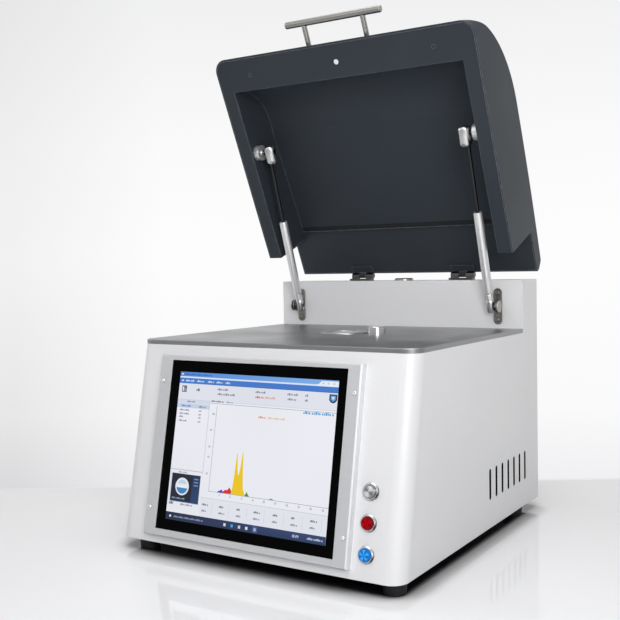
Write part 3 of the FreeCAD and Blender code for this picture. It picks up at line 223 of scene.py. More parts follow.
rubber_black = finish(
    "rubber_black", fine_grain,
    ("0C0C0D", "131314"), 0.55, {"Grain": 0.0012},
    0.0001, 0.0008, Specular_IOR_Level=0.3,
)
dress(rubber_black, "feet")

steel_screw = finish(
    "steel_screw", fine_grain,
    ("DCDCDE", "C4C5C8"), 0.2, {"Grain": 0.0009},
    0.00004, 0.0003, Metallic=1.0,
)


def turned_mesh(name, profile, steps=48):
    """Closed mesh turned about Z from (height, radius) pairs in millimetres.

    A third entry "hex" makes that ring a hexagon with flats at the radius.
    """
    shape = bmesh.new()
    rings = []
    for entry in profile:
        height, radius = entry[0] / 1000, entry[1] / 1000
        if radius == 0:
            rings.append([shape.verts.new((0, 0, height))])
            continue
        ring = []
        for step in range(steps):
            angle = 2 * math.pi * step / steps
            reach = radius
            if len(entry) > 2:
                off_flat = (angle + math.pi / 6) % (math.pi / 3) - math.pi / 6
                reach = radius / math.cos(off_flat)
            point = (reach * math.cos(angle), reach * math.sin(angle), height)
            ring.append(shape.verts.new(point))
        rings.append(ring)
    for low, high in zip(rings, rings[1:]):
        for step in range(steps):
            after = (step + 1) % steps
            corners = [low[step % len(low)], low[after % len(low)]]
            corners += [high[after % len(high)], high[step % len(high)]]
            loop = list(dict.fromkeys(corners))
            if len(loop) > 2:
                shape.faces.new(loop)
    bmesh.ops.recalc_face_normals(shape, faces=shape.faces)
    return shaded(name, shape)


def shaded(name, shape, sharp_angle=32):
    """Mesh from a bmesh, smooth except where its faces meet at an angle."""
    mesh = bpy.data.meshes.new(name)
    shape.to_mesh(mesh)
    shape.free()
    mesh.polygons.foreach_set("use_smooth", [True] * len(mesh.polygons))
    mesh.set_sharp_from_angle(angle=math.radians(sharp_angle))
    return mesh


def piece(name, mesh, material, body, place=Matrix.Identity(4), stands_for=()):
    """Put a made piece in place on its body, in place of the nodes it shows."""
    made = bpy.data.objects.new(name, mesh)
    put_in_scene(made)
    if material:
        made.data.materials.append(material)
    made.matrix_world = place
    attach(made, body)
    if stands_for:
        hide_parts(*stands_for)
    return made


def repeated(name, mesh, places, sharp_angle=32):
    """One mesh holding a copy of another at each of several places."""
    shape = bmesh.new()
    for place in places:
        copy = mesh.copy()
        copy.transform(place)
        shape.from_mesh(copy)
        bpy.data.meshes.remove(copy)
    return shaded(name, shape, sharp_angle)


def screw_mesh(name, head_radius, head_height, shank_radius, shank_length, nut):
    """Dome headed screw with a hexagon socket; its head sits on Z = 0."""
    socket = head_radius * 0.42
    profile = [
        (-shank_length, 0), (-shank_length, shank_radius * 0.8),
        (-shank_length + 0.4, shank_radius),
    ]
    if nut:
        nut_top, nut_height, nut_radius = nut
        profile += [
            (-nut_top - nut_height, shank_radius), (-nut_top - nut_height, nut_radius, "hex"),
            (-nut_top, nut_radius, "hex"), (-nut_top, shank_radius),
        ]
    profile += [
        (0, shank_radius), (0, head_radius * 0.96), (head_height * 0.12, head_radius),
        (head_height * 0.45, head_radius * 0.97), (head_height * 0.75, head_radius * 0.82),
        (head_height * 0.94, head_radius * 0.62), (head_height, head_radius * 0.5),
        (head_height * 0.98, socket * 1.08), (head_height * 0.9, socket, "hex"),
        (head_height * 0.35, socket, "hex"), (head_height * 0.2, 0),
    ]
    return turned_mesh(name, profile)


def fasten(name, mesh, places, material, stands_for=()):
    """Copies of one small steel part at their places on the base, as one piece."""
    copies = repeated(name, mesh, places)
    piece(name, copies, material, "base", stands_for=stands_for)


front_edge_y = -0.241337


def at(x, y, z):
    """Point measured from the body's front bottom edge, in millimetres."""
    return Vector((x / 1000, y / 1000 + front_edge_y, z / 1000))


def moved(x, y, z):
    """Move to a point measured in the same way."""
    return Matrix.Translation(at(x, y, z))


down = Matrix.Rotation(math.pi, 4, "X")
foot_screw = screw_mesh("foot_screw", 3.6, 2.2, 2.0, 13.0, (9.0, 3.2, 3.5))
recess_top = 7
places = [
    moved(x, y, recess_top) @ down
    for x in (-175, 194.5) for y in (21, 405)
]
fasten("foot_screws_made", foot_screw, places, steel_screw, ["foot_screws"])

# ---------------------------------------------------------------- floor pan and inside
# A folded steel pan carries a machined measuring head, the X-ray tube in its
# lined column, the detector, the generator, the supply and the boards.
zinc_steel = finish(
    "zinc_steel", fine_grain,
    ("B9BBBE", "9EA1A5"), 0.36, {"Grain": 0.004},
    0.00003, 0.0005, Metallic=1.0,
)
machined_aluminium = finish(
    "machined_aluminium", fine_grain,
    ("C4C6C9", "AEB1B5"), 0.32, {"Grain": 0.002},
    0.00004, 0.0006, Metallic=1.0,
)
black_casting = finish(
    "black_casting", fine_grain,
    ("232426", "313336"), 0.48, {"Grain": 0.0015},
    0.00012, 0.0006, ("55585C", 0.5),
)
black_moulding = finish(
    "black_moulding", fine_grain,
    ("19191B", "242427"), 0.42, {"Grain": 0.0008},
    0.00006, 0.0005,
)
pillar_brass = finish(
    "pillar_brass", fine_grain,
    ("C9A55A", "A98642"), 0.28, {"Grain": 0.001},
    0.00003, 0.0003, Metallic=1.0,
)


def board_tracks_group():
    """Green lacquer over a net of copper tracks."""
    group, given, result, place = finish_group("board_tracks", Pitch=0.004)
    scale = maths(group, "DIVIDE", 1.0, given["Pitch"])
    links = {"Vector": place, "Scale": scale}
    cells = add(group, "TexVoronoi", links, distance="MANHATTAN", feature="F1")[0]
    tracks = spread(group, cells, 0.35, 0.45, 0.0, 1.0)
    colour = blend_colours(group, tracks, given["Colour"], given["Shade"])
    rough = maths(group, "MULTIPLY_ADD", tracks, 0.08, given["Roughness"])
    give(group, result, Colour=colour, Roughness=rough, Height=tracks)
    return group


green_board = finish(
    "green_board", board_tracks_group(),
    ("1D5A35", "2F7A49"), 0.3, {"Pitch": 0.005},
    0.00005, 0.0003,
)
dress(machined_aluminium, "measuring_head", "detector", "filter_wheel", "tube_housing", "heat_sink")
dress(black_casting, "wheel_motor", "high_voltage_supply")
dress(zinc_steel, "power_supply", "xray_tube", "display_back_plate", "button_nuts")
dress(black_moulding, "camera_module", "lcd_panel", "switch_bodies", "interlock_sensor")
dress(pillar_brass, "board_standoffs")
dress(green_board, "circuit_boards")

# ---------------------------------------------------------------- body panels
# Folded sheet steel with a satin white powder coat: the leaning front wraps
# round both corners, the sides are cut with slots, and a box stands behind.
white_coat = finish(
    "white_coat", fine_grain,
    ("EAEAEB", "E5E5E7"), 0.34, {"Grain": 0.0011},
    0.00003, 0.0009, ("F2F2F3", 0.35), Coat_Weight=0.15, Coat_Roughness=0.25,
)
dress(black_casting, "base_pan")
dress(
    white_coat, "front_panel", "left_side_panel", "right_side_panel",
    "rear_panel", "tower_cover",
)

# Behind the slots of each side lies a black pad, which fills them: a dark sheet that paints shade
# in the slots.
bush_black_and_slot_shade = finish(
    "bush_black_and_slot_shade", fine_grain,
    ("050506", "09090A"), 0.9, {"Grain": 0.0008},
    0.0001, 0.0004, Specular_IOR_Level=0.05,
)
slot_height = 73.5
slot_pitch = 23.2
blocks = [((208.9, 341.9), (1.6, 166.0, 55.0))]
blocks += [((210.6, 272.3 + slot_pitch * index), (1.9, 7.9, 42.8)) for index in range(7)]
pad_shape = bmesh.new()
for (x, y), size in blocks:
    block = Matrix.Diagonal(Vector(size) / 1000).to_4x4()
    block = moved(x, y, slot_height) @ block
    bmesh.ops.create_cube(pad_shape, size=1, matrix=block)
pad_mesh = shaded("slot_shade_pad", pad_shape)
places = [Matrix(), Matrix.Diagonal((-1, 1, 1, 1))]
pads = repeated("slot_shade_pads", pad_mesh, places)
piece("slot_shade_pads", pads, bush_black_and_slot_shade, "base")

# Flat headed panel screws hold the rear sheet to the sides and the box.
panel_screw = screw_mesh("panel_screw", 3.4, 1.4, 1.5, 3.0, None)
backward = Matrix.Rotation(-math.pi / 2, 4, "X")
panel_screw_places = [(x, z) for x in (-203, 203) for z in (28, 118, 208, 300)]
panel_screw_places += [(x, 338) for x in (-100, 0, 100)]
rear_face = 470
places = [moved(x, rear_face, z) @ backward for x, z in panel_screw_places]
fasten("rear_panel_screws", panel_screw, places, steel_screw)

# ---------------------------------------------------------------- rear fittings
# Behind a stamped guard turns a moulded fan. Beside it are the power inlet
# with its rocker switch and the steel shells of the data connectors.
dress(black_moulding, "cooling_fan_frame", "fan_rotor", "mains_inlet")
dress(zinc_steel, "fan_guard", "data_ports")
red_moulding = finish(
    "red_moulding", fine_grain,
    ("A31014", "8C0C10"), 0.3, {"Grain": 0.0008},
    0.00004, 0.0005,
)
dress(red_moulding, "main_switch")

round_screw = screw_mesh("round_screw", 3.6, 2.2, 2.0, 26.0, None)
fan_x, fan_z = 128, 120
fan_holes = 41.25
guard_face = 471.5
places = [
    moved(fan_x + side * fan_holes, guard_face, fan_z + rise * fan_holes) @ backward
    for side in (-1, 1) for rise in (-1, 1)
]
fasten("fan_screws_made", round_screw, places, steel_screw, ["steel_screws"])

# ---------------------------------------------------------------- sample plate
# A 6 mm stainless plate, brushed from side to side, with a cut edge painted bright: partly its
# polish, partly a painted highlight.
# On it lie the turned window ring with its film and a polished steel post.


def brushed_lines_group():
    """Long fine scratches of a brushed metal, with dull finger marks."""
    group, given, result, place = finish_group(
        "brushed_lines", Stretch=(1.0, 1.0, 1.0), Marks=0.05
    )
    drawn = vector_maths(group, "MULTIPLY", place, given["Stretch"])
    links = {"Vector": drawn, "Scale": 1.0, "Detail": 5.0, "Roughness": 0.7}
    lines = add(group, "TexNoise", links)[0]
    marks = add(group, "TexNoise", {"Vector": place, "Scale": 11.0, "Detail": 3.0})[0]
    share = spread(group, lines, 0.25, 0.75, 0.0, 1.0)
    colour = blend_colours(group, share, given["Colour"], given["Shade"])
    dull = spread(group, marks, 0.35, 0.7, -1.0, 1.0)
    change = maths(group, "MULTIPLY_ADD", dull, given["Marks"], given["Roughness"])
    streak = spread(group, lines, 0.25, 0.75, -0.04, 0.04)
    rough = maths(group, "ADD", change, streak)
    give(group, result, Colour=colour, Roughness=rough, Height=lines)
    return group


brushed_lines = brushed_lines_group()

plate_steel = finish(
    "plate_steel", brushed_lines,
    ("919294", "818285"), 0.34, {"Stretch": (9.0, 900.0, 900.0), "Marks": 0.05},
    0.00002, 0.0005, ("E8E8EA", 0.9), Metallic=1.0,
)
dress(plate_steel, "top_plate")


def turned_lines_group():
    """Fine rings that a lathe tool leaves round the local Z axis."""
    group, given, result, place = finish_group(
        "turned_lines", Pitch=0.0004, Centre=(0.0, 0.0, 0.0)
    )
    offset = vector_maths(group, "SUBTRACT", place, given["Centre"])
    parts = add(group, "SeparateXYZ", {0: offset})
    flat = add(group, "CombineXYZ", {0: parts[0], 1: parts[1]})[0]
    radius = vector_maths(group, "LENGTH", flat)
    profile = add(group, "CombineXYZ", {0: radius, 2: parts[2]})[0]
    scale = maths(group, "DIVIDE", 1.0, given["Pitch"])
    rings = add(group, "TexNoise", {"Vector": profile, "Scale": scale, "Detail": 2.0})[0]
    share = spread(group, rings, 0.3, 0.7, 0.0, 1.0)
    colour = blend_colours(group, share, given["Colour"], given["Shade"])
    streak = spread(group, rings, 0.3, 0.7, -0.04, 0.04)
    rough = maths(group, "ADD", given["Roughness"], streak)
    give(group, result, Colour=colour, Roughness=rough, Height=rings)
    return group


turned_lines = turned_lines_group()

window_middle = at(0, 252, 0)
ring_steel = finish(
    "ring_steel", turned_lines,
    ("B4B5B7", "9C9DA0"), 0.3, {"Pitch": 0.0006, "Centre": window_middle},
    0.00003, 0.0003, Metallic=1.0,
)
dress(ring_steel, "window_ring")

post_middle = at(49.5, 255, 0)
post_steel = finish(
    "post_steel", turned_lines,
    ("D8D8DA", "C2C2C5"), 0.14, {"Pitch": 0.0005, "Centre": post_middle},
    0.00001, 0.0003, Metallic=1.0,
)
dress(post_steel, "sample_post")

clear_film = finish(
    "clear_film", fine_grain,
    ("F0F1F0", "E6E8E6"), 0.09, {"Grain": 0.006},
    0.00003, 0.0002, Transmission_Weight=0.9, IOR=1.45,
)
dress(clear_film, "window_film")

# ---------------------------------------------------------------- touch screen
# The touch glass lies in a thick brushed aluminium frame that four dome
# headed screws hold on the leaning front sheet. The display is lit.
lean = math.atan2(51.6, 256.4)
front_face = moved(0, 0, 14) @ Matrix.Rotation(-lean, 4, "X")


def paint_light_by_facing(material, direction, low, high, amount, colour):
    """Paint light or shade on the faces that look one way, by turning their colour towards another.
    """
    tree = material.node_tree
    facing = add(tree, "NewGeometry", {})["Normal"]
    turned_to = vector_maths(tree, "DOT_PRODUCT", facing, direction)
    share = spread(tree, turned_to, low, high, 0.0, amount)
    base = tree.nodes["Principled BSDF"].inputs["Base Color"]
    tree.links.new(blend_colours(tree, share, base.links[0].from_socket, colour), base)


frame_aluminium = finish(
    "frame_aluminium", brushed_lines,
    ("CACBCD", "C0C1C4"), 0.4, {"Stretch": (8.0, 1600.0, 1600.0), "Marks": 0.02},
    0.000006, 0.0006, ("FFFFFF", 1.0), Metallic=0.4,
)
# The faces of the frame turned to the right are painted lighter, and its edges are painted white:
# painted highlights, broken in patches.
paint_light_by_facing(frame_aluminium, (1.0, 0.0, 0.0), 0.6, 0.95, 0.8, tint("E6E7E9"))
dress(frame_aluminium, "display_frame")

screen_glass = finish(
    "screen_glass", fine_grain,
    ("020203", "030304"), 0.08, {"Grain": 0.02},
    0.000002, 0.0003, IOR=1.5, Specular_IOR_Level=0.02,
)
dress(screen_glass, "touch_glass")

frame_screw = screw_mesh("frame_screw", 2.9, 1.7, 1.5, 16.0, (13.0, 3.2, 3.5))
outward = Matrix.Rotation(math.pi / 2, 4, "X")
frame_thickness = 0.011
places = [
    front_face @ Matrix.Translation((x / 1000, -frame_thickness, slope / 1000)) @ outward
    for x in (-154.5, 140.0) for slope in (45.4, 211.8)
]
fasten("frame_screws_made", frame_screw, places, steel_screw, ["frame_screws"])

# The picture on the display: a window with bars, a table and a spectrum.
# Places are millimetres from the lit area's lower left corner.
screen_left = -126.5
screen_low = 33.6
screen_width = 243.6
screen_height = 191.8
screen_face = 10.0
level_rise = 0.06
level_step = 0.05

picture = bmesh.new()
picture_colour = picture.loops.layers.float_color.new("picture")


def patch(points, colour, level):
    """Flat coloured outline in the picture, one level above what it covers."""
    face_depth = -(screen_face + level_rise + level * level_step) / 1000
    corners = [
        picture.verts.new(((screen_left + u) / 1000, face_depth, (screen_low + v) / 1000))
        for u, v in points
    ]
    face = picture.faces.new(corners)
    face.normal_update()
    if face.normal.y > 0:
        face.normal_flip()
    codes = colour if isinstance(colour, list) else [colour] * len(corners)
    code_of = dict(zip(corners, codes))
    for loop in face.loops:
        loop[picture_colour] = tint(code_of[loop.vert])


def bar(u0, v0, u1, v1, colour, level=1):
    patch([(u0, v0), (u1, v0), (u1, v1), (u0, v1)], colour, level)


def dashes(u, v, length, height, colour, level=2):
    """Row of small blocks that stands for a word or two."""
    block = height * 0.62
    reach = u
    count = 0
    while reach + block < u + length:
        width = block * (0.8, 1.3, 0.6, 1.0, 0.9)[count % 5]
        rise = height * (1.0, 0.74, 0.74, 1.0, 0.74)[(count * 2 + 1) % 5]
        bar(reach, v, min(reach + width, u + length), v + rise, colour, level)
        reach += width + block * (0.35, 0.35, 0.3, 0.9, 0.35)[count % 5]
        count += 1


SEGMENTS = {
    "0": "abcdef", "1": "bc", "2": "abged", "3": "abgcd", "4": "fgbc",
    "5": "afgcd", "6": "afgedc", "7": "abc", "8": "abcdefg", "9": "abcdfg",
}


def digits(text, u, v, height, colour, level=2):
    """Plain numbers drawn in strokes, starting at a corner."""
    width = height * 0.5
    pen = height * 0.16
    half = height / 2
    strokes = {
        "a": (0, height - pen, width, height), "g": (0, half - pen / 2, width, half + pen / 2),
        "d": (0, 0, width, pen), "f": (0, half, pen, height),
        "b": (width - pen, half, width, height), "e": (0, 0, pen, half),
        "c": (width - pen, 0, width, half),
    }
    for mark in text:
        if mark == ":":
            for rise in (-0.2, 0.12):
                low = v + half + rise * height
                bar(u, low, u + pen, low + pen, colour, level)
            u += pen * 2.5
            continue
        for name in SEGMENTS[mark]:
            u0, v0, u1, v1 = strokes[name]
            bar(u + u0, v + v0, u + u1, v + v1, colour, level)
        u += width * 1.45


paper = "EEEFF6"
tool_grey = "E2E4EE"
line_grey = "9AA0AE"
faint_grey = "C3C7D2"
word_grey = "7C8290"
word_dark = "5C616C"
bar_blue = "3E78CC"
bar_pale = "86B0E6"

right, top = screen_width, screen_height
bar(0, 0, right, top, paper, 0)
# Title bar and menu bar
sky, sea = "7FB0EC", "4A86D8"
patch([(0, 186), (right, 186), (right, top), (0, top)], [sea, sky, sky, sea], 1)
patch([(212.9, 184), (right, 184), (right, 190.4), (219.9, 190.4)], "E9EEF8", 2)
bar(0, 184, 212.9, 186, "DCE7F8")
bar(0, 176.8, right, 184, bar_blue)
bar(0, 176.8, right, 177.5, "2F62B4", 2)
bar(1.6, 186.9, 6.2, 191.0, word_dark, 3)
bar(2.4, 187.9, 5.4, 190.0, paper, 4)
dashes(8, 187.6, 44, 2.4, "2E62AE", 3)
for place, length in ((3, 4), (10, 15), (29, 13), (47, 11), (61, 10), (76, 9)):
    dashes(place, 179.3, length, 2.4, "D5E3F8", 3)
for place in (221, 228, 236):
    bar(place, 186.6, place + 2.6, 188.6, faint_grey, 3)
# Tool area
bar(0, 156, right, 176.8, tool_grey)
bar(0, 155.6, right, 156, faint_grey, 2)
bar(5.2, 165.4, 13.0, 173.8, word_dark, 2)
bar(6.4, 166.8, 8.4, 172.4, paper, 3)
bar(9.4, 166.8, 11.6, 170.2, bar_pale, 3)
dashes(29.5, 167.6, 7.2, 3.4, word_dark)
words = ((64, 170.4, 18), (124, 170.4, 15.4), (172, 170.4, 16), (64.7, 164.4, 29), (173, 164.4, 13))
for u, v, length in words:
    dashes(u, v, length, 2.6, word_grey)
dashes(124.5, 164.1, 13.5, 2.6, "D2554A")
dashes(139, 164.3, 17, 2.4, "D9A08E")
for v in (170.4, 164.4):
    dashes(198, v, 6, 2.6, word_grey)
shield = [
    (232, 175.2), (243, 175.2), (243, 168.2), (240.6, 165.6), (237.5, 164.4), (234.4, 165.6),
    (232, 168.2),
]
patch(shield, "1F3557", 2)
patch([(234, 173.6), (241, 173.6), (241, 169.0), (237.5, 166.4), (234, 169.0)], "5FA6DC", 3)
bar(236.2, 169.4, 238.8, 172.2, paper, 4)
# List at the left
bar(0, 151, 54, 156, "D3DBEC")
bar(0, 144.9, 54, 150.6, "C6D2E8")
dashes(16, 152.3, 14, 2.2, word_grey)
dashes(7, 146.3, 17, 2.4, bar_blue)
dashes(36, 146.3, 12, 2.4, word_grey)
for v, length in ((141.0, 17), (136.2, 18), (132.2, 9), (127.0, 13)):
    dashes(5, v, length, 2.2, word_grey)
    dashes(36.5, v, 5.5, 2.2, line_grey)
bar(53.2, 62, 54, 156, faint_grey, 2)
bar(0, 64.2, 54, 65.4, faint_grey, 2)
dashes(14, 60.9, 15, 2.0, line_grey)
# Small view of the sample chamber
bar(2.0, 23.0, 51.5, 60.2, "D7DEEA", 1)
room = [(4, 24), (51, 24), (51, 59.8), (4, 59.8)]
patch(room, ["1B3A6B", "20406E", "132B52", "101B31"], 2)
bar(5.2, 25.6, 38, 58.6, "10182A", 3)


def disc(u, v, radius, colour, level, start=0, end=360):
    """Round or half round outline, from one angle to another in degrees."""
    steps = 28
    count = steps if end - start == 360 else steps + 1
    turns = [math.radians(start + (end - start) * step / steps) for step in range(count)]
    rim = [(u + radius * math.cos(turn), v + radius * math.sin(turn)) for turn in turns]
    patch(rim, colour, level)


disc(22.3, 43.7, 11.2, "E9EFF6", 4)
disc(22.3, 43.7, 9.2, "3C86C6", 5, 190, 350)
disc(22.3, 44.6, 7.8, "C2D6E8", 6, 20, 160)
bar(14.5, 42.4, 30.1, 44.4, "F4F7FA", 6)
for step in range(3):
    bar(41, 54 - step * 4, 48, 55.6 - step * 4, "6C8CBB", 3)
dashes(7, 27.4, 22, 2.0, "8FA4C4", 5)
dashes(3, 19.8, 9, 3.4, word_dark)
dashes(22, 20.2, 21, 2.2, word_grey)
# Spectrum chart
bar(54, 153, right, 153.6, line_grey)
dashes(56, 155.0, 21, 2.2, word_dark)
dashes(80, 155.0, 11, 2.2, line_grey)
bar(65.6, 42.7, 66.2, 151, line_grey)
bar(65.6, 42.3, right, 42.9, line_grey)
for index, v in enumerate((64.0, 85.0, 98.1, 119.2, 139.6)):
    digits(str((index + 1) * 2) + "0", 58.6, v - 1, 2.4, word_grey)
    bar(64.4, v, 65.6, v + 0.4, line_grey)
for index in range(10):
    u = 84.1 + index * 16.9
    digits(str(index * 4 + 4), u - 1.4, 38.0, 2.4, word_grey)
    bar(u, 41.2, u + 0.4, 42.3, line_grey)
dashes(132, 139.6, 12, 2.6, "E08A3C")
dashes(146, 139.6, 27, 2.4, "EEC08E")
dashes(197.5, 149.4, 45, 3.4, "4FA0D8")
peaks = (
    ("2C46C8", 3, [
        (79.4, 42.9), (81.2, 44.6), (83.4, 45.2), (85.3, 46.9), (87.0, 46.2), (89.9, 42.9),
    ]),
    ("D8241E", 4, [
        (87.5, 42.9), (90.2, 46.2), (92.6, 47.4), (95.2, 47.0), (97.8, 50.8), (99.6, 49.2),
        (101.6, 46.0), (104, 42.9),
    ]),
    ("F0C800", 5, [
        (100.6, 42.9), (102.4, 50), (103.8, 66), (105.0, 92), (105.5, 95), (106.1, 92),
        (107.6, 76), (109.4, 67.4), (110.8, 67.6), (112.2, 78), (113.5, 94), (114.1, 97),
        (114.8, 93), (116.6, 70), (118.6, 52), (122.6, 42.9),
    ]),
    ("1E9A40", 4, [(121.4, 42.9), (124.2, 46.4), (125.3, 48.8), (126.4, 46.2), (129.3, 42.9)]),
    ("2FB890", 3, [(158.4, 42.9), (160.6, 44.2), (162.2, 44.6), (164.0, 44.2), (166, 42.9)]),
)
for code, level, outline in peaks:
    patch(outline, code, level)
# Result table
bar(54, 9.9, right, 34, "E6E8F1", 1)
bar(54, 33.4, right, 34, faint_grey, 2)
for index, u in enumerate((61.5, 88.5, 116, 142, 170.5, 197, 224)):
    dashes(u - 4, 24.2, 10 - index % 3 * 2, 2.4, word_dark)
    dashes(u - 4, 16.4, 8 + index % 2 * 2, 2.4, word_grey)
    bar(u + 12, 13.4, u + 12.4, 29.4, faint_grey, 2)
# Bar along the foot with its clock
foot_bar = [(0, 0), (right, 0), (right, 9.9), (0, 9.9)]
patch(foot_bar, ["16233F", "22365E", "2A4272", "16233F"], 3)
disc(7.6, 4.8, 1.5, "E8EEF8", 4)
dashes(13.5, 3.8, 49, 2.2, "8C9CBC", 4)
icon_colours = ("D8DEE9", "3FA0E8", "C9D3E2", "E4E9F2", "9FB4D6")
for u, code in zip((94.4, 105.6, 117.0, 128.0, 140.6), icon_colours):
    bar(u, 3.0, u + 3.4, 6.6, code, 4)
bar(138.6, 1.2, 145.8, 8.6, "40598C", 3.5)
digits("10:24", 196, 3.4, 3.2, "DCE4F2", 4)
dashes(218, 3.6, 22, 2.6, "B9C6DE", 4)

picture_mesh = bpy.data.meshes.new("screen_picture")
picture.to_mesh(picture_mesh)
picture.free()


def lit_pixels_group():
    """Light of the display: its picture, a soft fall-off and a fine grid."""
    inputs = {"Colour": (1.0, 1.0, 1.0, 1.0), "Cells": 4200.0}
    outputs = {"Colour": "Color", "Roughness": "Float"}
    group, given, result = effect_group("lit_pixels", inputs, outputs)
    place = add(group, "TexCoord", {})["Object"]
    uneven = add(group, "TexNoise", {"Vector": place, "Scale": 4.0, "Detail": 1.0})[0]
    level = spread(group, uneven, 0.3, 0.7, 0.9, 1.0)
    cell = scaled(group, place, given["Cells"])
    grid = add(group, "TexChecker", {"Vector": cell, "Scale": 1.0})[1]
    fine = maths(group, "MULTIPLY_ADD", grid, 0.02, level)
    lit = scaled(group, given["Colour"], fine)
    rough = maths(group, "MULTIPLY_ADD", uneven, 0.05, 0.05)
    give(group, result, Colour=lit, Roughness=rough)
    return group


screen_light = bpy.data.materials.new("screen_light")
screen_light.use_nodes = True
tree = screen_light.node_tree
shader = tree.nodes["Principled BSDF"].inputs
painted = add(tree, "Attribute", {}, attribute_name="picture")["Color"]
cells_per_metre = 4200.0
values = {"Colour": painted, "Cells": cells_per_metre}
look = add(tree, "Group", values, node_tree=lit_pixels_group())
tree.links.new(look["Colour"], shader["Emission Color"])
tree.links.new(look["Roughness"], shader["Roughness"])
shader["Base Color"].default_value = (0.01, 0.01, 0.012, 1)
shader["Emission Strength"].default_value = 0.97
shader["Specular IOR Level"].default_value = 0.2
piece("screen_picture", picture_mesh, screen_light, "base", front_face)

# ---------------------------------------------------------------- push buttons
# Three push buttons in turned bezels, clamped through the front sheet by
# nuts: a blue one, a red one and a silver one, each with a domed cap. On each
# cap a sheen in rays is painted light, and its darker rim is painted shade.
bezel_chrome = finish(
    "bezel_chrome", fine_grain,
    ("D2D3D5", "C2C3C6"), 0.12, {"Grain": 0.003},
    0.00001, 0.0005, Metallic=1.0,
)
# The bezel faces turned to the right and down are painted near black: a painted dark reflection and
# shadow.
paint_light_by_facing(bezel_chrome, (0.92, 0.0, -0.39), 0.45, 0.65, 0.95, tint("101112"))
dress(bezel_chrome, "button_bezels")


def cap_sheen_group():
    """Painted sheen in rays on a button cap, with fine rings, and painted shade in a ring at its
    rim.
    """
    group, given, result, place = finish_group(
        "cap_sheen", Rim=(0.2, 0.2, 0.2, 1.0), Rays=2.0, Turn=0.0
    )
    parts = add(group, "SeparateXYZ", {0: place})
    flat = add(group, "CombineXYZ", {0: parts[0], 1: parts[1]})[0]
    radius = vector_maths(group, "LENGTH", flat)
    angle = maths(group, "ARCTAN2", parts[1], parts[0])
    turned = maths(group, "MULTIPLY_ADD", angle, given["Rays"], given["Turn"])
    wave = maths(group, "COSINE", turned)
    uneven = add(group, "TexNoise", {"Vector": flat, "Scale": 420.0, "Detail": 1.0})[0]
    ring_step = maths(group, "MULTIPLY", radius, ring_waves)
    rings = maths(group, "SINE", ring_step)
    rays = maths(group, "MULTIPLY_ADD", wave, 0.36, uneven)
    both = maths(group, "MULTIPLY_ADD", rings, 0.06, rays)
    share = spread(group, both, 0.15, 0.85, 0.0, 1.0)
    painted_sheen = blend_colours(group, share, given["Colour"], given["Shade"])
    rim = spread(group, radius, *rim_shade_span, 0.0, 1.0)
    colour = blend_colours(group, rim, painted_sheen, given["Rim"])
    rough = maths(group, "MULTIPLY_ADD", share, 0.06, given["Roughness"])
    give(group, result, Colour=colour, Roughness=rough, Height=both)
    return group


# Waves of the rings per metre of radius, and the radii where the painted shade at the rim begins
# and is full.
ring_waves = 5200.0
rim_shade_span = (0.0059, 0.0064)
cap_sheen = cap_sheen_group()

button_column = 0.166
cap_profile = [
    (-14.1, 0), (-14.1, 7.2), (-13.7, 7.65), (4.4, 7.65), (5.1, 7.5), (5.6, 7.15), (5.85, 6.7),
    (5.78, 6.35), (5.55, 6.1), (5.6, 5.8), (5.8, 4.6), (5.92, 3.0), (5.98, 1.4), (6.0, 0),
]
# Each cap: its name, its place up the slope, its colour, the painted shade of its sheen and the
# painted shade at its rim, its roughness, metallic, the rays of its sheen and its slot.
caps = (
    ("blue", 29.6, ("46B4FA", "0A62C4", "1478D6"), 0.3, 0.0, 5.0, "blue_plastic"),
    ("red", 65.4, ("B60410", "860009", "7C0A12"), 0.34, 0.0, 4.0, "red_plastic"),
    ("silver", 101.2, ("E2E2E3", "7A7B7E", "8A8B8E"), 0.26, 1.0, 2.0, "silver_plastic"),
)
for colour_name, slope, codes, rough, metallic, rays, slot in caps:
    cap_skin = finish(
        colour_name + "_cap", cap_sheen,
        codes[:2], rough, {"Rim": tint(codes[2]), "Rays": rays, "Turn": 1.2},
        0.00004, 0.0004, Metallic=metallic, Specular_IOR_Level=0.06,
    )
    place = front_face @ Matrix.Translation((button_column, 0, slope / 1000)) @ outward
    cap_name = colour_name + "_button_cap"
    piece(
        cap_name, turned_mesh(cap_name, cap_profile, 64), cap_skin,
        colour_name + "_actuator", place, [colour_name + "_button"],
    )

# ---------------------------------------------------------------- shielding lid
# A curved steel cover with a rim, an inner tray and a rear panel, all in a
# satin charcoal powder coat. A white magnet plug and two screws sit in the rim.
# The lid's edges are painted lighter: partly wear, partly a painted highlight.
charcoal_coat = finish(
    "charcoal_coat", fine_grain,
    ("3A3F45", "353A40"), 0.42, {"Grain": 0.0011},
    0.00004, 0.0009, ("A4AAB2", 1.0), Specular_IOR_Level=0.1,
)
dress(charcoal_coat, "lid_shell", "lid_rim", "lid_liner", "lid_rear_panel")
white_moulding = finish(
    "white_moulding", fine_grain,
    ("F0F0EE", "E6E6E3"), 0.35, {"Grain": 0.0008},
    0.00003, 0.0005,
)
dress(white_moulding, "interlock_magnet")
dark_steel = finish(
    "dark_steel", fine_grain,
    ("3C3D40", "4A4B4F"), 0.34, {"Grain": 0.0012},
    0.00004, 0.0004, ("8B8D92", 0.4), Metallic=0.8,
)
dress(dark_steel, "rim_screws")

open_turn = math.radians(64.5)
hinge = (472.5, 356.6)


def lid_point(y, z):
    """Place of a point of the closed lid once the lid stands open."""
    dy, dz = y - hinge[0], z - hinge[1]
    return (
        hinge[0] + dy * math.cos(open_turn) + dz * math.sin(open_turn),
        hinge[1] - dy * math.sin(open_turn) + dz * math.cos(open_turn),
    )


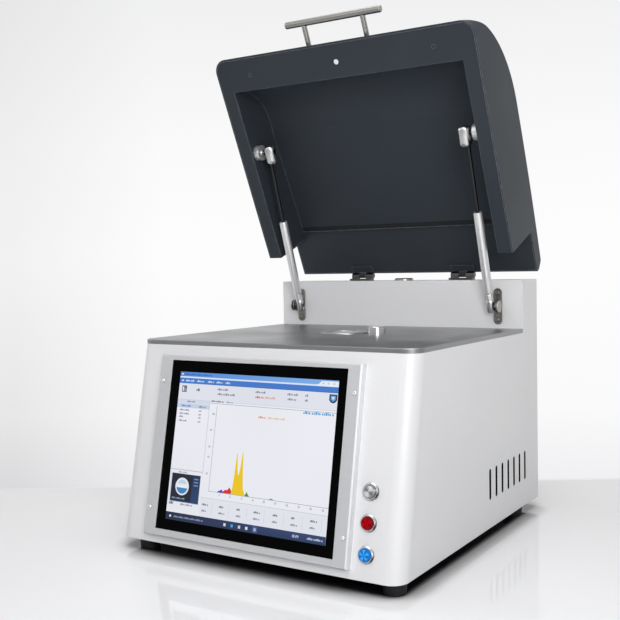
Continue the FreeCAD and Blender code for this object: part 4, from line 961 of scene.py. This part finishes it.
# A dark strip lies behind the roof of the tray, before its rear lip: painted shade in the band
# there.
shade_strip_black = finish(
    "shade_strip_black", fine_grain,
    ("101113", "17181B"), 0.85, {"Grain": 0.0009},
    0.0001, 0.0004,
)
shade_strip_shape = bmesh.new()
bmesh.ops.create_cube(shade_strip_shape, size=1)
shade_strip_size = (0.376, 0.0064, 0.0013)
bmesh.ops.scale(shade_strip_shape, vec=shade_strip_size, verts=shade_strip_shape.verts)
shade_strip_turn = Matrix.Rotation(-open_turn, 4, "X")
piece(
    "tray_shade_strip", shaded("tray_shade_strip", shade_strip_shape), shade_strip_black, "lid",
    moved(0, *lid_point(383.8, 358.5)) @ shade_strip_turn,
)

# ---------------------------------------------------------------- lifting handle
# A round stainless bar, brushed along its length, welded to two short posts
# that stand on the lid's front.
handle_steel = finish(
    "handle_steel", brushed_lines,
    ("A9A7A4", "8C8A87"), 0.28, {"Stretch": (12.0, 800.0, 800.0), "Marks": 0.05},
    0.00002, 0.0004, Metallic=1.0,
)
dress(handle_steel, "lift_handle")

# ---------------------------------------------------------------- hinges and stop
# Two leaf hinges carry the lid on steel pins. A low turned button on the
# box between them stops the lid.
dress(charcoal_coat, "hinge_lid_leaves")
hinge_steel = finish(
    "hinge_steel", brushed_lines,
    ("6A6867", "302F2E"), 0.22, {"Stretch": (30.0, 600.0, 600.0), "Marks": 0.06},
    0.00003, 0.0004, Metallic=1.0,
)
dress(hinge_steel, "hinge_base_leaves", "hinge_pins")
stop_middle = at(0, 444, 0)
stop_steel = finish(
    "stop_steel", turned_lines,
    ("C8C4BC", "A8A49C"), 0.18, {"Pitch": 0.0008, "Centre": stop_middle},
    0.00002, 0.0003, Metallic=1.0,
)
dress(stop_steel, "lid_stop")

# ---------------------------------------------------------------- gas struts
# Each strut is a lacquered pressure tube on a plated ball socket, with a dark
# nitrided rod and a drilled steel socket. That socket snaps on the lid's ball
# stud, in a black bush.
socket_steel = finish(
    "socket_steel", fine_grain,
    ("CFCFCF", "B4B4B5"), 0.24, {"Grain": 0.0011},
    0.00005, 0.0005, Metallic=1.0,
)
strut_lacquer = finish(
    "strut_lacquer", fine_grain,
    ("E2E2E2", "DADADB"), 0.3, {"Grain": 0.0008},
    0.00001, 0.0005, Metallic=0.7, Coat_Weight=0.3, Coat_Roughness=0.15,
)
rod_nitride = finish(
    "rod_nitride", brushed_lines,
    ("2A2A2C", "3A3A3D"), 0.22, {"Stretch": (900.0, 900.0, 20.0), "Marks": 0.03},
    0.00001, 0.0002, Metallic=0.9,
)
stud_black = finish(
    "stud_black", turned_lines,
    ("3A3938", "5A5856"), 0.25, {"Pitch": 0.0006},
    0.00003, 0.0003, Metallic=1.0,
)


def cut_with(mesh, cutters):
    """Mesh with the shapes of other meshes taken out of it."""
    block = bpy.data.objects.new("cutting_block", mesh)
    put_in_scene(block)
    tools = []
    for index, (cutter, place) in enumerate(cutters):
        tool = bpy.data.objects.new("cutting_tool_" + str(index), cutter)
        put_in_scene(tool)
        tool.matrix_world = place
        change = block.modifiers.new("cut", "BOOLEAN")
        change.object = tool
        change.operation = "DIFFERENCE"
        change.solver = "EXACT"
        tools.append(tool)
    bpy.context.view_layer.update()
    ready = block.evaluated_get(bpy.context.evaluated_depsgraph_get())
    shape = bmesh.new()
    shape.from_mesh(ready.to_mesh())
    for old in [block] + tools:
        bpy.data.objects.remove(old)
    return shaded(mesh.name + "_cut", shape)


def up(height):
    """Step along the local Z axis, in millimetres."""
    return Matrix.Translation((0, 0, height / 1000))


sideways = Matrix.Rotation(math.pi / 2, 4, "Y")
low_ball = (392, 309.4)
high_ball = lid_point(221.5, 293.7)
strut_back = high_ball[0] - low_ball[0]
strut_rise = high_ball[1] - low_ball[1]
strut_reach = math.hypot(strut_back, strut_rise)
strut_tilt = -math.atan2(strut_back, strut_rise)

tube_profile = [
    (23.0, 0), (21.0, 2.0), (21.0, 5.2), (21.4, 6.0), (22.4, 6.4), (24.0, 6.5), (143.8, 6.5),
    (145.0, 6.2), (145.5, 5.6), (145.5, 4.2), (144.6, 4.0), (144.4, 3.1), (135.5, 3.1),
    (135.5, 4.0), (24.0, 4.0), (24.0, 0),
]
low_socket_profile = [
    (-8.0, 0), (-8.0, 5.0), (-7.7, 5.6), (-7.0, 6.0), (8.6, 6.0), (9.4, 5.6), (10.0, 5.2, "hex"),
    (19.8, 5.2, "hex"), (20.4, 4.9), (21.0, 4.9), (21.0, 0),
]
rod_end = strut_reach - 17
rod_profile = [(115.5, 0), (115.5, 3.6), (123.5, 3.6), (123.5, 3.0), (rod_end, 3.0), (rod_end, 0)]
# Heights from the upper ball's middle along the rod.
high_socket_profile = [
    (strut_reach + height, radius) for height, radius in (
        (-19.0, 0), (-19.0, 5.6), (-18.4, 7.0), (-17.0, 8.2), (-15.2, 8.9), (-13.0, 9.2),
        (5.0, 9.2), (7.4, 8.7), (9.2, 7.4), (10.2, 5.4), (10.5, 3.4), (10.5, 0),
    )
]
ball_radius = 5
ball_profile = [(-ball_radius, 0)]
for angle in range(-80, 61, 10):
    lift = math.radians(angle)
    ball_profile.append((ball_radius * math.sin(lift), ball_radius * math.cos(lift)))
ball_profile += [(4.6, 2.4), (7.0, 2.4), (7.0, 3.5), (7.5, 3.9), (9.2, 3.9), (9.7, 3.5), (9.8, 0)]
bush_profile = [(5.3, 0), (5.3, 4.2), (10.9, 4.2), (11.3, 3.9), (11.3, 2.8), (9.6, 2.4), (9.6, 0)]


def socket_cutters(place, hole_radius, room_profile):
    """Cross hole and round room that the ball of a stud needs in a socket."""
    ends = [(-20, 0), (-20, hole_radius), (20, hole_radius), (20, 0)]
    return [(turned_mesh("hole", ends, 24), place), (turned_mesh("room", room_profile, 24), place)]


def strut_piece(word, label, shape, material, end, place):
    """Put a profile or a mesh of one strut on its tube or its rod."""
    mesh = turned_mesh(word + label, shape) if isinstance(shape, list) else shape
    piece(word + label, mesh, material, word + "_" + end, place, [word + "_strut_" + end])


low_room = [(-4.2, 0), (-4.2, 1.4), (-3.2, 2.8), (0, 4.2), (3.2, 2.8), (4.2, 1.4), (4.2, 0)]
high_room = [(-5.2, 0), (-5, 1.6), (-4, 3.4), (0, 5.15), (4, 3.4), (5, 1.6), (5.2, 0)]
strut_side = 168
socket_shift = 0.0032
for side, word in ((-1, "left"), (1, "right")):
    strut = moved(side * strut_side, *low_ball)
    strut = strut @ Matrix.Rotation(strut_tilt, 4, "X")
    strut_end = strut @ up(strut_reach)
    strut_piece(word, "_pressure_tube", tube_profile, strut_lacquer, "tube", strut)
    low_socket = turned_mesh(word + "_low_socket", low_socket_profile)
    low_socket = cut_with(low_socket, socket_cutters(sideways, 3.1, low_room))
    strut_piece(word, "_low_socket", low_socket, socket_steel, "tube", strut)
    strut_piece(word, "_strut_piston_rod", rod_profile, rod_nitride, "rod", strut)
    ball = Matrix.Translation((side * socket_shift, 0, strut_reach / 1000)) @ sideways
    high_socket = turned_mesh(word + "_high_socket", high_socket_profile)
    high_socket = cut_with(high_socket, socket_cutters(ball, 4.3, high_room))
    place = strut @ Matrix.Translation((-side * socket_shift, 0, 0))
    strut_piece(word, "_high_socket", high_socket, socket_steel, "rod", place)
    place = strut_end @ Matrix.Rotation(-side * math.pi / 2, 4, "Y")
    strut_piece(word, "_socket_bush", bush_profile, bush_black_and_slot_shade, "rod", place)
    place = strut_end @ Matrix.Rotation(side * math.pi / 2, 4, "Y")
    strut_piece(word, "_high_ball_stud", ball_profile, stud_black, "rod", place)

# Round steel seats on the lid's inner walls and oblong plates on the box
# carry the ball studs of the struts.
dress(strut_lacquer, "upper_strut_mounts")
bracket_steel = finish(
    "bracket_steel", brushed_lines,
    ("8A8783", "6B6864"), 0.32, {"Stretch": (500.0, 500.0, 30.0), "Marks": 0.06},
    0.00004, 0.0005, ("C5C3BF", 0.5), Metallic=0.95,
)
dress(bracket_steel, "lower_strut_brackets")
stud_zinc = finish(
    "stud_zinc", fine_grain,
    ("C6C3BC", "B4B0A8"), 0.35, {"Grain": 0.0012},
    0.00003, 0.0004, Metallic=0.5,
)
head_profile = [
    (0, 0), (0, 8.5), (0.8, 8.7), (1.3, 8.4), (1.5, 7.9), (1.5, 3.2), (1.3, 2.8), (1.3, 0),
]
stud_side = 180.5
places = [
    moved(side * stud_side, *low_ball) @ Matrix.Rotation(side * math.pi / 2, 4, "Y")
    for side in (-1, 1)
]
fasten("lower_stud_heads", turned_mesh("lower_stud_head", head_profile), places, stud_zinc)
bracket_screw = screw_mesh("bracket_screw", 3.6, 2.2, 2.0, 7.0, (4.0, 3.2, 3.5))
places = [
    moved(side * 174, 405, low_ball[1] + rise * 20) @ outward
    for side in (-1, 1) for rise in (-1, 1)
]
fasten("bracket_screws_made", bracket_screw, places, bracket_steel, ["steel_screws"])

# ---------------------------------------------------------------- table and light
# The tester stands on a glossy white table before a pale background. Five
# broad soft lights stand round it and overhead. A narrow one adds a sheen at
# the right front corner, and a small one lifts the front of the tower.
def backdrop_tone_group():
    """Tone of the background by the direction it is seen in from the camera."""
    group, given, result = effect_group(
        "backdrop_tone", {"Direction": (0.0, 0.0, 1.0)}, {"Colour": "Color"}
    )
    height = add(group, "SeparateXYZ", {0: given["Direction"]})[2]
    right = vector_maths(group, "DOT_PRODUCT", given["Direction"], level_right)
    ramp = group.nodes.new("ShaderNodeValToRGB")
    tones = (
        (-0.235, "EEEEF0"), (-0.15, "FAFAFB"), (0.02, "FDFDFD"), (0.13, "FAFAFA"),
        (0.27, "F1F1F2"),
    )
    lowest, highest = tones[0][0], tones[-1][0]
    span = spread(group, height, lowest, highest, 0.0, 1.0)
    group.links.new(span, ramp.inputs[0])
    marks = ramp.color_ramp.elements
    while len(marks) < len(tones):
        marks.new(0.5)
    for mark, (place, code) in zip(marks, tones):
        mark.position = (place - lowest) / (highest - lowest)
        mark.color = tint(code)
    left = spread(group, right, -0.16, -0.31, 0.0, 1.0)
    low = spread(group, height, 0.0, -0.22, 0.1, 0.2)
    drop = maths(group, "MULTIPLY", left, low)
    kept = maths(group, "SUBTRACT", 1.0, drop)
    toned = scaled(group, ramp.outputs[0], kept)
    give(group, result, Colour=toned)
    return group


backdrop_tone = backdrop_tone_group()

table_half = 60
table_drop = 0.0003
table_shape = bmesh.new()
bmesh.ops.create_grid(table_shape, x_segments=1, y_segments=1, size=table_half)
table = bpy.data.objects.new("table", shaded("table", table_shape))
put_in_scene(table)
table.location = (0, 0, -table_drop)

table_white = bpy.data.materials.new("table_white")
table_white.use_nodes = True
tree = table_white.node_tree
shader_node = tree.nodes["Principled BSDF"]
shader = shader_node.inputs
position = add(tree, "NewGeometry", {})["Position"]
clouds = add(tree, "TexNoise", {"Vector": position, "Scale": 1.4, "Detail": 1.0})[0]
white = blend_colours(tree, clouds, (0.96, 0.96, 0.97, 1), (0.93, 0.93, 0.945, 1))
# Painted shadow: where the table sees little open sky, under and near the tester, its colour turns
# near black.
open_sky = add(tree, "AmbientOcclusion", {"Distance": 0.05}, samples=32)["AO"]
lit_share = spread(tree, open_sky, 0.3, 0.85, 0.0, 1.0)
painted_shadow_colour = (0.01, 0.01, 0.012, 1)
tree.links.new(blend_colours(tree, lit_share, painted_shadow_colour, white), shader["Base Color"])
shader["Roughness"].default_value = 0.05
shader["IOR"].default_value = 1.42
edge_distance = 1.56
edge_blend = 0.02
from_eye = vector_maths(tree, "SUBTRACT", position, camera_place)
level_ahead = Vector((-math.sin(camera_heading), math.cos(camera_heading), 0))
far = vector_maths(tree, "DOT_PRODUCT", from_eye, level_ahead)
beyond = spread(tree, far, edge_distance, edge_distance + edge_blend, 0.0, 1.0)
sight = vector_maths(tree, "NORMALIZE", from_eye)
toned = add(tree, "Group", {"Direction": sight}, node_tree=backdrop_tone)["Colour"]
backdrop_light = add(tree, "Emission", {"Color": toned})[0]
joined = add(tree, "MixShader", {0: beyond, 1: shader_node.outputs[0], 2: backdrop_light})[0]
tree.links.new(joined, tree.nodes["Material Output"].inputs["Surface"])
table.data.materials.append(table_white)

world = bpy.data.worlds.new("pale_room")
bpy.context.scene.world = world
world.use_nodes = True
tree = world.node_tree
direction = add(tree, "TexCoord", {})["Generated"]
toned = add(tree, "Group", {"Direction": direction}, node_tree=backdrop_tone)["Colour"]
seen = tree.nodes["Background"]
tree.links.new(toned, seen.inputs["Color"])
seen.inputs["Strength"].default_value = 1.0
lighting = add(tree, "Background", {"Color": (1.0, 1.0, 1.0, 1), "Strength": 0.1})[0]
rays = add(tree, "LightPath", {})
seen_by = maths(tree, "MAXIMUM", rays["Is Camera Ray"], rays["Is Glossy Ray"])
seen_by = maths(tree, "MAXIMUM", seen_by, rays["Is Transmission Ray"])
mixed = add(tree, "MixShader", {0: seen_by, 1: lighting, 2: seen.outputs[0]})[0]
tree.links.new(mixed, tree.nodes["World Output"].inputs["Surface"])

part_middle = (0, 0, 0.25)
lamps = (
    ("high_front_light", (0.5, -1.8, 2.2), part_middle, 1.4, 1.4, 13.0, True, True),
    ("overhead_light", (0.1, 0.1, 2.4), part_middle, 1.8, 1.8, 28.0, True, True),
    ("near_right_light", (1.05, -1.25, 0.7), part_middle, 0.6, 0.6, 11.0, True, True),
    ("left_light", (-2.2, -0.6, 1.2), part_middle, 1.2, 1.2, 7.0, True, True),
    ("front_left_light", (-1.3, -2.2, 1.7), part_middle, 1.6, 1.6, 4.0, True, True),
    ("corner_sheen_light", (1.9, -1.3, 0.45), part_middle, 0.35, 1.2, 3.0, False, True),
    ("tower_fill_light", (0.02, -0.14, 0.5), (0.03, 0.2, 0.33), 0.3, 0.08, 0.14, True, False),
)
for name, spot, target, width, height, power, lights_matt, lights_gloss in lamps:
    panel = bpy.data.lights.new(name, "AREA")
    panel.shape = "RECTANGLE"
    panel.size = width
    panel.size_y = height
    panel.energy = power
    lamp = bpy.data.objects.new(name, panel)
    put_in_scene(lamp)
    lamp.location = spot
    lamp.rotation_euler = (Vector(target) - Vector(spot)).to_track_quat("-Z", "Y").to_euler()
    lamp.visible_camera = False
    lamp.visible_diffuse = lights_matt
    lamp.visible_glossy = lights_gloss

bpy.context.scene.view_settings.view_transform = "Standard"
